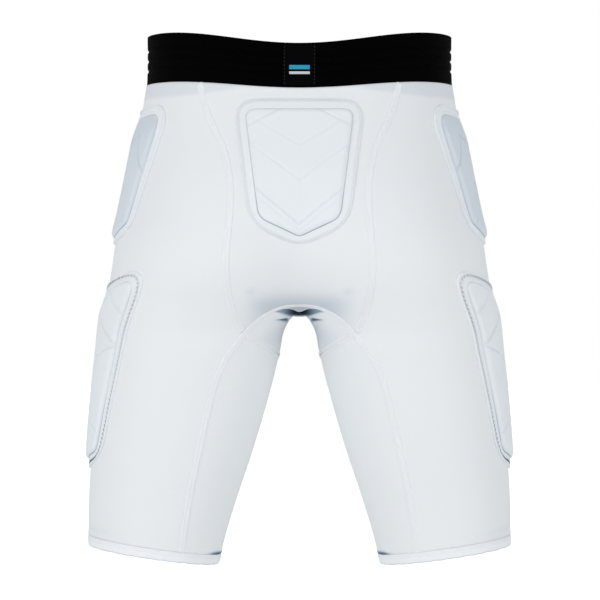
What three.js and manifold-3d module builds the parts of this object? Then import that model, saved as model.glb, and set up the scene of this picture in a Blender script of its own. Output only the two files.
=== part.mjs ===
// Padded compression shorts for sport, standing in the shape that they take when worn.
// Stretch fabric panels are sewn edge to edge under flat seam tapes, between an elastic waistband and two
// folded leg hems. Moulded foam pads lie on the tailbone, the hips and the thighs.
// Millimetres, +Z up, +X the wearer's left, -Y the wearer's front. The origin is the middle of the waist.
import * as THREE from "three";
import { mergeVertices } from "three/addons/utils/BufferGeometryUtils.js";
import Module from "manifold-3d";

// Body sizes
const waistWidth = 292;
const waistBack = 102; // from the middle to the back
const waistFront = 106;
const hipWidth = 374;
const seatBack = 140;
const bellyFront = 112;
const thighBack = 103;
const thighFront = 97;
const hemSpan = 404; // over both legs
const hemGap = 154; // between the legs
const hemBack = 70;
const hemFront = 66;
const waistToCrotch = 245;
const inseam = 236;
const waistLap = 62; // how far each half of the waist reaches past the middle
const seatWeb = 26; // how softly the cloth bridges from one half to the other
const pouchHalfWidth = 42;
const pouchDepth = 46;
const pouchHeight = 62; // half of it
const pouchForward = 58;
const sectionPower = 2.15; // 2 is an ellipse, and more is squarer

// Cloth and trim
const clothWall = 1.5;
const seamGap = 0.4; // between the edges of two panels
const seatGap = 0.5; // between a pad's border or the label and what it lies on
const tapeGap = 0.85; // between a seam tape and the cloth, which it bridges
const bandHeight = 47;
const bandWall = 2.2;
const bandTop = 23; // over the origin, at the sides
const bandTopDipBack = 13;
const bandBottomDipBack = 8;
const bandTopDipFront = 9;
const bandBottomDipFront = 8;
const bandGrooves = 3;
const bandGrooveWidth = 4.8;
const bandGrooveDepth = 0.9;
const bandGroovePitch = 9.4;
const hemHeight = 10;
const hemWall = 2.2;
const hemTilt = 8.3; // degrees, the outer side higher
const tapeWidth = 5;
const tapeWall = 0.7;
const labelWidth = 31;
const labelHeight = 38;
const labelWall = 0.7;

// Pads: a thin border that is sewn down, and a thick foam core with channels inside it
const padBorder = 9.6;
const borderWall = 1.2;
const cornerLoss = 1.4; // how much of the inset an inner outline's corners lose
const coreGap = 0.5; // between the border and the core
const coreSeat = 0.9; // between the core and the cloth
const foamWall = 5.5;
const foamEdge = 2.2; // the core's rounded edge
const foamDome = 1.2; // how much thicker the core is in its middle
const channelWidth = 2.8;
const channelDepth = 1.1;
const tailPadWidth = 120;
const tailPadHeight = 136;
const tailPadDrop = 42.5; // below the origin
const tailPadCorner = 20;
const hipPadWrap = 62; // degrees round the hip
const hipPadHeight = 135;
const hipPadDrop = 43;
const hipPadRound = 73.5; // degrees from straight back to its middle
const hipPadLean = 4; // degrees further to the front at its foot
const hipPadCorner = 17;
const thighPadWrap = 80;
const thighPadHeight = 191;
const thighPadDrop = 201;
const thighPadRound = 70;
const thighPadLean = 24;
const thighPadCorner = 23;

// The two tables give the body's form. A row is one level. Lengths are shares of the sizes above.
// drop: of waistToCrotch. swell: from the waist's width to the hip's. seat, belly: from the waist's depth to
// the seat's and the belly's. lap: of waistLap, below zero where the legs part. web: of seatWeb.
const torsoSections = [
  { drop: -0.2, swell: 0.0, seat: -0.06, belly: 0.0, lap: 1.0, web: 0.6 },
  { drop: 0.08, swell: 0.0, seat: 0.06, belly: 0.05, lap: 1.0, web: 0.6 },
  { drop: 0.18, swell: 0.09, seat: 0.2, belly: 0.3, lap: 0.98, web: 0.7 },
  { drop: 0.32, swell: 0.21, seat: 0.47, belly: 0.75, lap: 0.9, web: 0.85 },
  { drop: 0.46, swell: 0.36, seat: 0.76, belly: 1.0, lap: 0.78, web: 1.0 },
  { drop: 0.6, swell: 0.54, seat: 0.96, belly: 0.95, lap: 0.62, web: 1.0 },
  { drop: 0.7, swell: 0.7, seat: 1.0, belly: 0.6, lap: 0.48, web: 0.95 },
  { drop: 0.8, swell: 0.79, seat: 0.93, belly: 0.1, lap: 0.32, web: 0.95 },
  { drop: 0.88, swell: 0.87, seat: 0.72, belly: -0.4, lap: 0.17, web: 0.88 },
  { drop: 0.95, swell: 0.93, seat: 0.44, belly: -0.8, lap: 0.0, web: 0.64 },
  { drop: 1.0, swell: 0.975, seat: 0.26, belly: -1.1, lap: -0.14, web: 0.34 },
];
// drop: of inseam. spread: from half of hipWidth to half of hemSpan. gap: of half of hemGap. taper: from the
// thigh's depth to the hem's. web: of seatWeb.
const legSections = [
  { drop: 0.06, spread: 0.05, gap: 0.22, taper: -0.08, web: 0.3 },
  { drop: 0.13, spread: 0.14, gap: 0.26, taper: 0.0, web: 0.3 },
  { drop: 0.33, spread: 0.48, gap: 0.39, taper: 0.24, web: 0.3 },
  { drop: 0.54, spread: 0.79, gap: 0.58, taper: 0.5, web: 0.3 },
  { drop: 0.74, spread: 0.98, gap: 0.785, taper: 0.76, web: 0.3 },
  { drop: 0.91, spread: 1.01, gap: 0.94, taper: 0.93, web: 0.3 },
  { drop: 1.1, spread: 1.0, gap: 1.07, taper: 1.08, web: 0.3 },
];

// The long seam that runs from the waistband down the seat, as a share of waistToCrotch and of half of
// hipWidth. Its last row is where it meets the inner seam, and the front has the same seam.
const longSeam = [
  { drop: 0.1, out: 0.5 },
  { drop: 0.2, out: 0.468 },
  { drop: 0.295, out: 0.414 },
  { drop: 0.365, out: 0.373 },
  { drop: 0.475, out: 0.343 },
  { drop: 0.57, out: 0.339 },
  { drop: 0.685, out: 0.35 },
  { drop: 0.77, out: 0.36 },
  { drop: 0.86, out: 0.358 },
  { drop: 0.94, out: 0.343 },
  { drop: 1.0, out: 0.318 },
  { drop: 1.065, out: 0.278 },
];
// The inner seam below that crossing: a share of inseam, and degrees round the leg from straight back.
const innerSeam = [
  { drop: 0.16, round: -22 },
  { drop: 0.28, round: -18.5 },
  { drop: 0.55, round: -19 },
  { drop: 0.8, round: -21.5 },
  { drop: 1.0, round: -24.5 },
];
const archRise = 0.953; // of waistToCrotch, the inner seam's highest point, between the legs
const crossSeamDip = 0.155; // of inseam, where the crossing seam passes the inner side of the leg

// Each pad's outline, its corners in turn from the top's end on the wearer's left or front.
// across: of half its width. down: of its height.
const tailPadCorners = [
  { across: 1, down: 0 },
  { across: 0.77, down: 0.85 },
  { across: 0, down: 1 },
  { across: -0.77, down: 0.85 },
  { across: -1, down: 0 },
];
const hipPadCorners = [
  { across: 1, down: 0.06 },
  { across: 0.8, down: 0.9 },
  { across: 0.05, down: 1 },
  { across: -0.83, down: 0.89 },
  { across: -1, down: 0 },
];
const thighPadCorners = [
  { across: 1, down: 0.13 },
  { across: 1, down: 0.9 },
  { across: 0, down: 1 },
  { across: -1, down: 0.93 },
  { across: -1, down: -0.02 },
];
// The channels in each core: a bent line from its start past its middle to its end.
const tailPadChannels = [
  { from: [-0.66, 0.62], past: [0, 0.86], to: [0.66, 0.62], bent: true },
  { from: [-0.74, 0.31], past: [0, 0.56], to: [0.74, 0.31], bent: true },
  { from: [-0.6, 0.165], past: [0, 0.335], to: [0.6, 0.165], bent: true },
  { from: [-0.78, 0.21], past: [-0.54, 0.13], to: [-0.26, 0.085], bent: false },
  { from: [0.78, 0.21], past: [0.54, 0.13], to: [0.26, 0.085], bent: false },
];
const hipPadChannels = [
  { from: [-0.74, 0.5], past: [-0.42, 0.24], to: [0.02, 0.25], bent: false },
  { from: [0.1, 0.26], past: [0.42, 0.28], to: [0.74, 0.42], bent: false },
  { from: [-0.6, 0.81], past: [-0.06, 0.77], to: [0.66, 0.56], bent: false },
];
const thighPadChannels = [
  { from: [-0.78, 0.2], past: [-0.55, 0.12], to: [-0.36, 0.09], bent: false },
  { from: [-0.78, 0.355], past: [-0.3, 0.23], to: [0.7, 0.24], bent: false },
  { from: [-0.78, 0.39], past: [-0.2, 0.49], to: [0.72, 0.42], bent: false },
  { from: [0.02, 0.5], past: [-0.06, 0.6], to: [-0.24, 0.7], bent: false },
  { from: [-0.64, 0.81], past: [-0.1, 0.76], to: [0.7, 0.66], bent: false },
];

// How finely each piece is made
const seatSteps = 12; // down the long seam
const legSteps = 9; // down the inner seam
const middleSteps = 8; // across the back or front panel
const sideSteps = 11; // round the outer side
const innerSteps = 9; // round the inner side of a leg
const bandSteps = 38;
const hemSteps = 32;
const rimSteps = 32; // round a pad
const channelSteps = 4;
const coreRings = [0, 0.38, 0.72, 1]; // of the way from a core's middle to its edge

const mix = (a, b, share) => a + (b - a) * share;
const degrees = (angle) => (angle * Math.PI) / 180;

// A smooth curve through the rows of a table, in one column against another.
function curveThrough(rows, along, column) {
  const at = rows.map((row) => row[along]);
  const value = rows.map((row) => row[column]);
  const slope = at.map((_, i) => {
    const a = Math.max(i - 1, 0);
    const b = Math.min(i + 1, at.length - 1);
    return (value[b] - value[a]) / (at[b] - at[a]);
  });
  return (where) => {
    let i = 0;
    while (i < at.length - 2 && where > at[i + 1]) i += 1;
    const span = at[i + 1] - at[i];
    const t = THREE.MathUtils.clamp((where - at[i]) / span, 0, 1);
    const rest = 1 - t;
    return (
      value[i] * rest * rest * (1 + 2 * t) +
      slope[i] * span * t * rest * rest +
      value[i + 1] * t * t * (3 - 2 * t) -
      slope[i + 1] * span * t * t * rest
    );
  };
}

// Each level's real sizes, from the top down.
const levels = [
  ...torsoSections.map((row) => ({
    depth: row.drop * waistToCrotch,
    out: mix(waistWidth, hipWidth, row.swell) / 2,
    inner: -row.lap * waistLap,
    back: mix(waistBack, seatBack, row.seat),
    front: mix(waistFront, bellyFront, row.belly),
    web: row.web * seatWeb,
  })),
  ...legSections.map((row) => ({
    depth: waistToCrotch + row.drop * inseam,
    out: mix(hipWidth, hemSpan, row.spread) / 2,
    inner: (row.gap * hemGap) / 2,
    back: mix(thighBack, hemBack, row.taper),
    front: mix(thighFront, hemFront, row.taper),
    web: row.web * seatWeb,
  })),
];
const outAt = curveThrough(levels, "depth", "out");
const innerAt = curveThrough(levels, "depth", "inner");
const backAt = curveThrough(levels, "depth", "back");
const frontAt = curveThrough(levels, "depth", "front");
const webAt = curveThrough(levels, "depth", "web");

// The middle of one half of the body at a level, and that half's own half-width and half-depth.
function halfAt(z) {
  const out = outAt(-z);
  const inner = innerAt(-z);
  const back = backAt(-z);
  const front = frontAt(-z);
  return {
    x: (out + inner) / 2,
    y: (back - front) / 2,
    width: (out - inner) / 2,
    depth: (back + front) / 2,
  };
}

// How far a point lies outside a rounded form of these half-sizes, below zero inside.
function beyond(offsets, halfSizes, power) {
  const far = Math.max(Math.hypot(...offsets), 1e-6);
  const share = offsets.reduce((sum, d, i) => sum + Math.abs(d / halfSizes[i]) ** power, 0) ** (1 / power);
  return far * (1 - 1 / Math.max(share, 1e-6));
}

// The smaller of two distances, rounded off where they are close.
function softer(a, b, web) {
  return Math.min(a, b) - web * Math.log1p(Math.exp(-Math.abs(a - b) / web));
}

// How far a point lies outside the cloth's outer face. The body is two halves and the pouch in front.
function outside(p) {
  const half = halfAt(p.z);
  const web = webAt(-p.z);
  const sizes = [half.width, half.depth];
  const left = beyond([p.x - half.x, p.y - half.y], sizes, sectionPower);
  const right = beyond([p.x + half.x, p.y - half.y], sizes, sectionPower);
  const pouchOffsets = [p.x, p.y + pouchForward, p.z + waistToCrotch - pouchHeight];
  const pouch = beyond(pouchOffsets, [pouchHalfWidth, pouchDepth, pouchHeight], 2);
  return softer(softer(left, right, web), pouch, web / 2);
}

// The direction straight out of the cloth.
function normalAt(p) {
  const step = 0.5;
  const gradient = new THREE.Vector3();
  for (const axis of ["x", "y", "z"]) {
    const ahead = p.clone();
    const behind = p.clone();
    ahead[axis] += step;
    behind[axis] -= step;
    gradient[axis] = outside(ahead) - outside(behind);
  }
  return gradient.divideScalar(2 * step);
}

// Moves a point onto the cloth by the shortest way.
function settle(p) {
  const at = p.clone();
  for (let i = 0; i < 8; i += 1) {
    const gradient = normalAt(at);
    at.addScaledVector(gradient, -outside(at) / Math.max(gradient.lengthSq(), 0.05));
  }
  return at;
}

// A point at this height over the cloth.
function raised(p, height) {
  return p.clone().addScaledVector(normalAt(p).normalize(), height);
}

// The point where a line that starts inside the cloth leaves it.
function leave(start, direction, longest) {
  let near = 0;
  let far = longest;
  for (let i = 0; i < 28; i += 1) {
    const middle = (near + far) / 2;
    if (outside(start.clone().addScaledVector(direction, middle)) > 0) far = middle;
    else near = middle;
  }
  return start.clone().addScaledVector(direction, (near + far) / 2);
}

// The point of the cloth that someone behind (facing 1) or in front (facing -1) sees at x and z.
function seenFrom(facing, x, z) {
  const stride = 4;
  const at = (y) => new THREE.Vector3(x, facing * y, z);
  let y = seatBack + bellyFront;
  while (y > stride && outside(at(y - stride)) > 0) y -= stride;
  return leave(at(y - stride), new THREE.Vector3(0, facing, 0), stride);
}

// The direction round from straight back (0 degrees), by the left (90) to the front (180).
const heading = (angle) => new THREE.Vector3(Math.sin(degrees(angle)), Math.cos(degrees(angle)), 0);

// The point of the cloth round the left half of the body, which ends at the middle between the legs.
function roundHalf(angle, z) {
  const half = halfAt(z);
  const direction = heading(angle);
  const toMiddle = direction.x < 0 ? half.x / -direction.x : Infinity;
  return leave(new THREE.Vector3(half.x, half.y, z), direction, Math.min(hipWidth / 2, toMiddle));
}

// The point of the cloth round the whole waist.
const roundWaist = (angle, z) => leave(new THREE.Vector3(0, 0, z), heading(angle), hipWidth / 2);

// How far round the left half of the body a point of its back (facing 1) or front (facing -1) lies.
function angleOf(p, facing) {
  const half = halfAt(p.z);
  const fromFacing = THREE.MathUtils.radToDeg(Math.atan2(p.x - half.x, facing * (p.y - half.y)));
  return facing > 0 ? fromFacing : 180 - fromFacing;
}

// The edges of the band and of the hem, at a point of the cloth
function dipped(x, y, level, backDip, frontDip) {
  const dipReach = 0.95; // of half of the waist's width
  const share = Math.min(Math.abs(x) / (waistWidth / 2) / dipReach, 1);
  return level - (y > 0 ? backDip : frontDip) * Math.cos((share * Math.PI) / 2) ** 2;
}
const bandTopAt = ({ x, y }) => dipped(x, y, bandTop, bandTopDipBack, bandTopDipFront);
const bandBottomAt = ({ x, y }) => dipped(x, y, bandTop - bandHeight, bandBottomDipBack, bandBottomDipFront);
const panelTopAt = (p) => bandBottomAt(p) - seamGap / 2;
const hemBottomAt = ({ x }) => Math.tan(degrees(hemTilt)) * (x - hemGap / 2) - waistToCrotch - inseam;
const hemTopAt = (p) => hemBottomAt(p) + hemHeight;
const panelBottomAt = (p) => hemTopAt(p) + seamGap / 2;

// The height at which a line down the cloth meets such an edge, where at gives the line's point at a height.
function heightOnEdge(at, edge, firstZ) {
  let z = firstZ;
  for (let i = 0; i < 5; i += 1) z = edge(at(z));
  return z;
}
const bandZ = bandTop - bandHeight;
const hemZ = -waistToCrotch - inseam;

// A closed geometry with each vertex moved by a function, without doubled vertices, its faces pointing out.
function reshaped(geometry, place) {
  geometry.deleteAttribute("uv");
  geometry.deleteAttribute("normal");
  const placed = geometry.getAttribute("position");
  const point = new THREE.Vector3();
  for (let i = 0; i < placed.count; i += 1) {
    point.fromBufferAttribute(placed, i);
    point.copy(place(point.x, point.y, point.z));
    placed.setXYZ(i, point.x, point.y, point.z);
  }
  const closed = mergeVertices(geometry, 1e-3);
  const corners = closed.getIndex().array;
  const at = closed.getAttribute("position");
  const [a, b, c] = [new THREE.Vector3(), new THREE.Vector3(), new THREE.Vector3()];
  const faces = [];
  let volume = 0;
  for (let i = 0; i < corners.length; i += 3) {
    const [ia, ib, ic] = corners.slice(i, i + 3);
    if (ia === ib || ib === ic || ic === ia) continue;
    a.fromBufferAttribute(at, ia);
    b.fromBufferAttribute(at, ib);
    c.fromBufferAttribute(at, ic);
    volume += a.dot(b.cross(c));
    faces.push([ia, ib, ic]);
  }
  if (volume < 0) faces.forEach((face) => face.reverse());
  closed.setIndex(faces.flat());
  closed.computeVertexNormals();
  return closed;
}

// The same piece on the wearer's other side.
function mirrored(geometry) {
  return reshaped(geometry.clone(), (x, y, z) => new THREE.Vector3(-x, y, z));
}

const shorts = new THREE.Group();
function add(name, geometry, material) {
  const mesh = new THREE.Mesh(geometry, material);
  mesh.name = name;
  shorts.add(mesh);
}
function addPair(name, geometry, material) {
  add(name + "_left", geometry, material);
  add(name + "_right", mirrored(geometry), material);
}

// Finishes
const fabric = new THREE.MeshStandardMaterial({ color: 0xe9edf0, roughness: 0.75, metalness: 0 });
const elastic = new THREE.MeshStandardMaterial({ color: 0x060607, roughness: 0.8, metalness: 0 });
const tapeCloth = new THREE.MeshStandardMaterial({ color: 0xf2f4f6, roughness: 0.7, metalness: 0 });
const padCover = new THREE.MeshStandardMaterial({ color: 0xe4e9ee, roughness: 0.55, metalness: 0 });
const labelCloth = new THREE.MeshStandardMaterial({ color: 0x0a0a0c, roughness: 0.45, metalness: 0 });

// The seams of the left side, each as the cloth's point at a share of its way. The right side mirrors them.
const seamOut = curveThrough(longSeam, "drop", "out");
const crossing = longSeam[longSeam.length - 1];
const crossingZ = -crossing.drop * waistToCrotch;
const crossingX = (crossing.out * hipWidth) / 2;

function longSeamAt(facing, share) {
  const seamX = (z) => (seamOut(-z / waistToCrotch) * hipWidth) / 2;
  const top = panelTopAt({ x: seamX(bandZ), y: facing });
  const z = mix(top, crossingZ, share);
  return seenFrom(facing, seamX(z), z);
}

const turnAtCrossing = { back: angleOf(longSeamAt(1, 1), 1), front: angleOf(longSeamAt(-1, 1), -1) };

// From the crossing down the back or the front of the leg to the hem.
function innerSeamAt(facing, share) {
  const startTurn = facing > 0 ? turnAtCrossing.back : 180 - turnAtCrossing.front;
  const start = { drop: (-crossingZ - waistToCrotch) / inseam, round: startTurn };
  const turn = curveThrough([start, ...innerSeam], "drop", "round");
  const at = (z) => {
    const angle = turn((-z - waistToCrotch) / inseam);
    return roundHalf(facing > 0 ? angle : 180 - angle, z);
  };
  return at(mix(crossingZ, heightOnEdge(at, panelBottomAt, hemZ), share));
}

// Between the two crossings, from -1 on the right to 1 on the left, over the back or the front.
function archAt(facing, share) {
  const archFall = 2.3; // how late it drops towards the crossings
  const z = mix(-archRise * waistToCrotch, crossingZ, Math.abs(share) ** archFall);
  return seenFrom(facing, crossingX * share, z);
}

// Round the inner side of the leg, from the back crossing to the front one.
function crossSeamAt(share) {
  const lowest = -waistToCrotch - crossSeamDip * inseam;
  const angle = mix(turnAtCrossing.back, turnAtCrossing.front - 360, share);
  return roundHalf(angle, mix(crossingZ, lowest, Math.sin(share * Math.PI)));
}

// A smooth patch between four edges, where top and bottom run from start to end.
function patch(top, bottom, start, end) {
  return (u, v) => {
    const between = (axis) =>
      mix(top(u)[axis], bottom(u)[axis], v) +
      mix(start(v)[axis], end(v)[axis], u) -
      mix(mix(top(0)[axis], top(1)[axis], u), mix(bottom(0)[axis], bottom(1)[axis], u), v);
    return new THREE.Vector3(between("x"), between("y"), between("z"));
  };
}

// A panel of cloth over a patch, held back from its edges by half a seam's gap.
function panel(onCloth, across, down, width, height) {
  const trimU = seamGap / 2 / width;
  const trimV = seamGap / 2 / height;
  const known = new Map();
  return reshaped(new THREE.BoxGeometry(1, 1, 1, across, down, 1), (x, y, z) => {
    const u = mix(trimU, 1 - trimU, x + 0.5);
    const v = mix(trimV, 1 - trimV, 0.5 - y);
    const key = u.toFixed(5) + " " + v.toFixed(5);
    if (!known.has(key)) known.set(key, onCloth(u, v));
    return raised(known.get(key), z > 0 ? 0 : -clothWall);
  });
}

// The back and front panels lie between the long seams, from the band to the arch.
function middlePanel(facing) {
  const flat = patch(
    (u) => {
      const x = mix(-1, 1, u) * longSeamAt(facing, 0).x;
      return { x, y: 0, z: panelTopAt({ x, y: facing }) };
    },
    (u) => archAt(facing, mix(-1, 1, u)),
    (v) => longSeamAt(facing, v).clone().multiply(new THREE.Vector3(-1, 1, 1)),
    (v) => longSeamAt(facing, v),
  );
  const onCloth = (u, v) => {
    const { x, z } = flat(u, v);
    return seenFrom(facing, x, z);
  };
  return panel(onCloth, middleSteps, seatSteps, 2 * crossingX, waistToCrotch);
}
add("back_panel", middlePanel(1), fabric);
add("front_panel", middlePanel(-1), fabric);

// The side panel goes round the outer side from seam to seam, and from the band to the hem.
function sidePanel() {
  const crossingShare = seatSteps / (seatSteps + legSteps);
  const seamTurn = (facing) => (v) => {
    const isSeat = v <= crossingShare;
    const legShare = (v - crossingShare) / (1 - crossingShare);
    const p = isSeat ? longSeamAt(facing, v / crossingShare) : innerSeamAt(facing, legShare);
    return { x: angleOf(p, facing), y: 0, z: p.z };
  };
  const [back, front] = [seamTurn(1), seamTurn(-1)];
  const edgeTurn = (v, edge, firstZ) => (u) => {
    const angle = mix(back(v).x, front(v).x, u);
    return { x: angle, y: 0, z: heightOnEdge((z) => roundHalf(angle, z), edge, firstZ) };
  };
  const flat = patch(edgeTurn(0, panelTopAt, bandZ), edgeTurn(1, panelBottomAt, hemZ), back, front);
  const onCloth = (u, v) => {
    const { x: angle, z } = flat(u, v);
    return roundHalf(angle, z);
  };
  return panel(onCloth, sideSteps, seatSteps + legSteps, (waistWidth + hemSpan) / 3, waistToCrotch + inseam);
}
addPair("side_panel", sidePanel(), fabric);

// The inner panel goes round the inner side of the leg, from the cross seam to the hem.
function innerPanel() {
  const seamTurn = (facing) => (v) => {
    const p = innerSeamAt(facing, v);
    return { x: angleOf(p, facing) - (facing > 0 ? 0 : 360), y: 0, z: p.z };
  };
  const [back, front] = [seamTurn(1), seamTurn(-1)];
  const top = (u) => {
    const angle = mix(turnAtCrossing.back, turnAtCrossing.front - 360, u);
    return { x: angle, y: 0, z: crossSeamAt(u).z };
  };
  const bottom = (u) => {
    const angle = mix(back(1).x, front(1).x, u);
    return { x: angle, y: 0, z: heightOnEdge((z) => roundHalf(angle, z), panelBottomAt, hemZ) };
  };
  const flat = patch(top, bottom, back, front);
  const onCloth = (u, v) => {
    const { x: angle, z } = flat(u, v);
    return roundHalf(angle, z);
  };
  return panel(onCloth, innerSteps, legSteps, hemBack + hemFront, inseam);
}
addPair("inner_panel", innerPanel(), fabric);

// The gusset fills the crotch between the two arches and the two cross seams.
function gusset() {
  const otherSide = new THREE.Vector3(-1, 1, 1);
  const hung = patch(
    (u) => archAt(1, mix(-1, 1, u)),
    (u) => archAt(-1, mix(-1, 1, u)),
    (v) => crossSeamAt(v).multiply(otherSide),
    (v) => crossSeamAt(v),
  );
  return panel((u, v) => settle(hung(u, v)), middleSteps, innerSteps, 2 * crossingX, thighBack + thighFront);
}
add("gusset", gusset(), fabric);

// A ring of a closed profile, whose points are a height share and a distance over the cloth.
function ring(profile, steps, pointAt) {
  const far = 10; // keeps the profile clear of the lathe's axis
  const points = profile.map(({ height, over }) => new THREE.Vector2(far + over, height));
  return reshaped(new THREE.LatheGeometry([...points, points[0]], steps), (x, y, z) => {
    const angle = THREE.MathUtils.radToDeg(Math.atan2(x, z));
    return raised(pointAt(angle, y), Math.hypot(x, z) - far);
  });
}

// The waistband is a wide elastic with shallow grooves all round.
function waistband() {
  const grooves = Array.from({ length: bandGrooves }, (_, i) => {
    const middle = 0.5 + ((i - (bandGrooves - 1) / 2) * bandGroovePitch) / bandHeight;
    const reach = bandGrooveWidth / 2 / bandHeight;
    return [
      { height: middle - reach, over: 0 },
      { height: middle, over: -bandGrooveDepth },
      { height: middle + reach, over: 0 },
    ];
  });
  const outer = [{ height: 0, over: 0 }, ...grooves.flat(), { height: 1, over: 0 }];
  const inner = [{ height: 1, over: -bandWall }, { height: 0, over: -bandWall }];
  return ring([...outer, ...inner], bandSteps, (angle, height) => {
    const at = (z) => roundWaist(angle, z);
    const low = heightOnEdge(at, (p) => bandBottomAt(p) + seamGap / 2, bandZ);
    return at(mix(low, heightOnEdge(at, bandTopAt, bandZ), height));
  });
}
add("waistband", waistband(), elastic);

// The label is sewn to the middle of the band's back.
function waistLabel() {
  const middleZ = (bandTopAt({ x: 0, y: 1 }) + bandBottomAt({ x: 0, y: 1 })) / 2;
  return reshaped(new THREE.BoxGeometry(labelWidth, labelWall, labelHeight, 4, 1, 2), (x, y, z) =>
    raised(seenFrom(1, x, middleZ + z), seatGap + labelWall / 2 + y),
  );
}
add("waist_label", waistLabel(), labelCloth);

// Each leg ends in a folded hem.
const hemProfile = [
  { height: 0, over: 0 },
  { height: 1, over: 0 },
  { height: 1, over: -hemWall },
  { height: 0, over: -hemWall },
];
const hem = ring(hemProfile, hemSteps, (angle, height) => {
  const at = (z) => roundHalf(angle, z);
  const high = heightOnEdge(at, (p) => hemTopAt(p) - seamGap / 2, hemZ);
  return at(mix(heightOnEdge(at, hemBottomAt, hemZ), high, height));
});
addPair("hem", hem, fabric);

// A seam tape with a step at each of the seam's points, stopping short of its ends.
function seamTape(points, shortStart, shortEnd) {
  const line = new THREE.CatmullRomCurve3(points);
  const steps = points.length - 1;
  const first = shortStart / points[0].distanceTo(points[1]);
  const last = steps - shortEnd / points[steps].distanceTo(points[steps - 1]);
  return reshaped(new THREE.BoxGeometry(tapeWidth, 1, 1, 1, 1, steps), (x, y, z) => {
    const t = THREE.MathUtils.clamp((z + 0.5) * steps, first, last) / steps;
    const middle = line.getPoint(t);
    const sideways = line.getTangent(t).cross(normalAt(middle)).normalize();
    return raised(settle(middle.addScaledVector(sideways, x)), tapeGap + tapeWall * (y + 0.5));
  });
}
const along = (count, at) => Array.from({ length: count + 1 }, (_, i) => at(i / count));
const backwards = (at) => (share) => at(1 - share);
const toRight = (at) => (share) => at(share).multiply(new THREE.Vector3(-1, 1, 1));
const crossingShort = tapeWidth + tapeGap; // stops short of the tape that it crosses
for (const [facing, word] of [[1, "back"], [-1, "front"]]) {
  const seatSeam = along(seatSteps, (share) => longSeamAt(facing, share));
  addPair("long_seam_tape_" + word, seamTape(seatSeam, tapeGap, crossingShort), tapeCloth);
  const leg = (share) => innerSeamAt(facing, share);
  const arch = (share) => archAt(facing, mix(-1, 1, share));
  const wholeSeam = [
    ...along(legSteps, toRight(backwards(leg))),
    ...along(middleSteps, arch).slice(1, -1),
    ...along(legSteps, leg),
  ];
  add("inner_seam_tape_" + word, seamTape(wholeSeam, tapeGap, tapeGap), tapeCloth);
}
addPair("cross_seam_tape", seamTape(along(innerSteps, crossSeamAt), crossingShort, crossingShort), tapeCloth);

// Solids for joins and cuts
const wasm = await Module();
wasm.setup();
function toSolid(geometry) {
  const vertProperties = new Float32Array(geometry.getAttribute("position").array);
  const triVerts = new Uint32Array(geometry.getIndex().array);
  return new wasm.Manifold(new wasm.Mesh({ numProp: 3, vertProperties, triVerts }));
}
function toGeometry(solid) {
  const { vertProperties, triVerts } = solid.getMesh();
  const geometry = new THREE.BufferGeometry();
  geometry.setAttribute("position", new THREE.BufferAttribute(new Float32Array(vertProperties), 3));
  geometry.setIndex(Array.from(triVerts));
  geometry.computeVertexNormals();
  return geometry;
}

// A pad's outline, inset and with rounded corners, as evenly spaced points from the middle of its top.
function padRim(corners, inset, corner) {
  const count = corners.length;
  const edges = corners.map((start, i) => {
    const along = corners[(i + 1) % count].clone().sub(start).normalize();
    const inward = new THREE.Vector2(-along.y, along.x);
    return { along, start: start.clone().addScaledVector(inward, inset) };
  });
  const insetCorners = edges.map((edge, i) => {
    const before = edges[(i + count - 1) % count];
    const apart = edge.start.clone().sub(before.start);
    const reach = apart.cross(edge.along) / before.along.cross(edge.along);
    return before.start.clone().addScaledVector(before.along, reach);
  });
  const path = new THREE.Path();
  const topMiddle = insetCorners[count - 1].clone().lerp(insetCorners[0], 0.5);
  path.moveTo(topMiddle.x, topMiddle.y);
  insetCorners.forEach((at, i) => {
    const before = insetCorners[(i + count - 1) % count];
    const after = insetCorners[(i + 1) % count];
    const rounding = Math.max(corner - cornerLoss * inset, 2);
    const start = at.clone().add(before.clone().sub(at).setLength(rounding));
    const end = at.clone().add(after.clone().sub(at).setLength(rounding));
    path.lineTo(start.x, start.y);
    path.quadraticCurveTo(at.x, at.y, end.x, end.y);
  });
  path.closePath();
  return path.getSpacedPoints(rimSteps);
}

// A body of rings round a pad's middle. Each profile point has a ring share in x and a level in y.
function padRings(profile, place) {
  return reshaped(new THREE.LatheGeometry(profile, rimSteps), (x, y, z) => {
    const step = Math.round((Math.atan2(x, z) / (2 * Math.PI)) * rimSteps + rimSteps) % rimSteps;
    return place(step, Math.hypot(x, z), y);
  });
}

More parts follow.
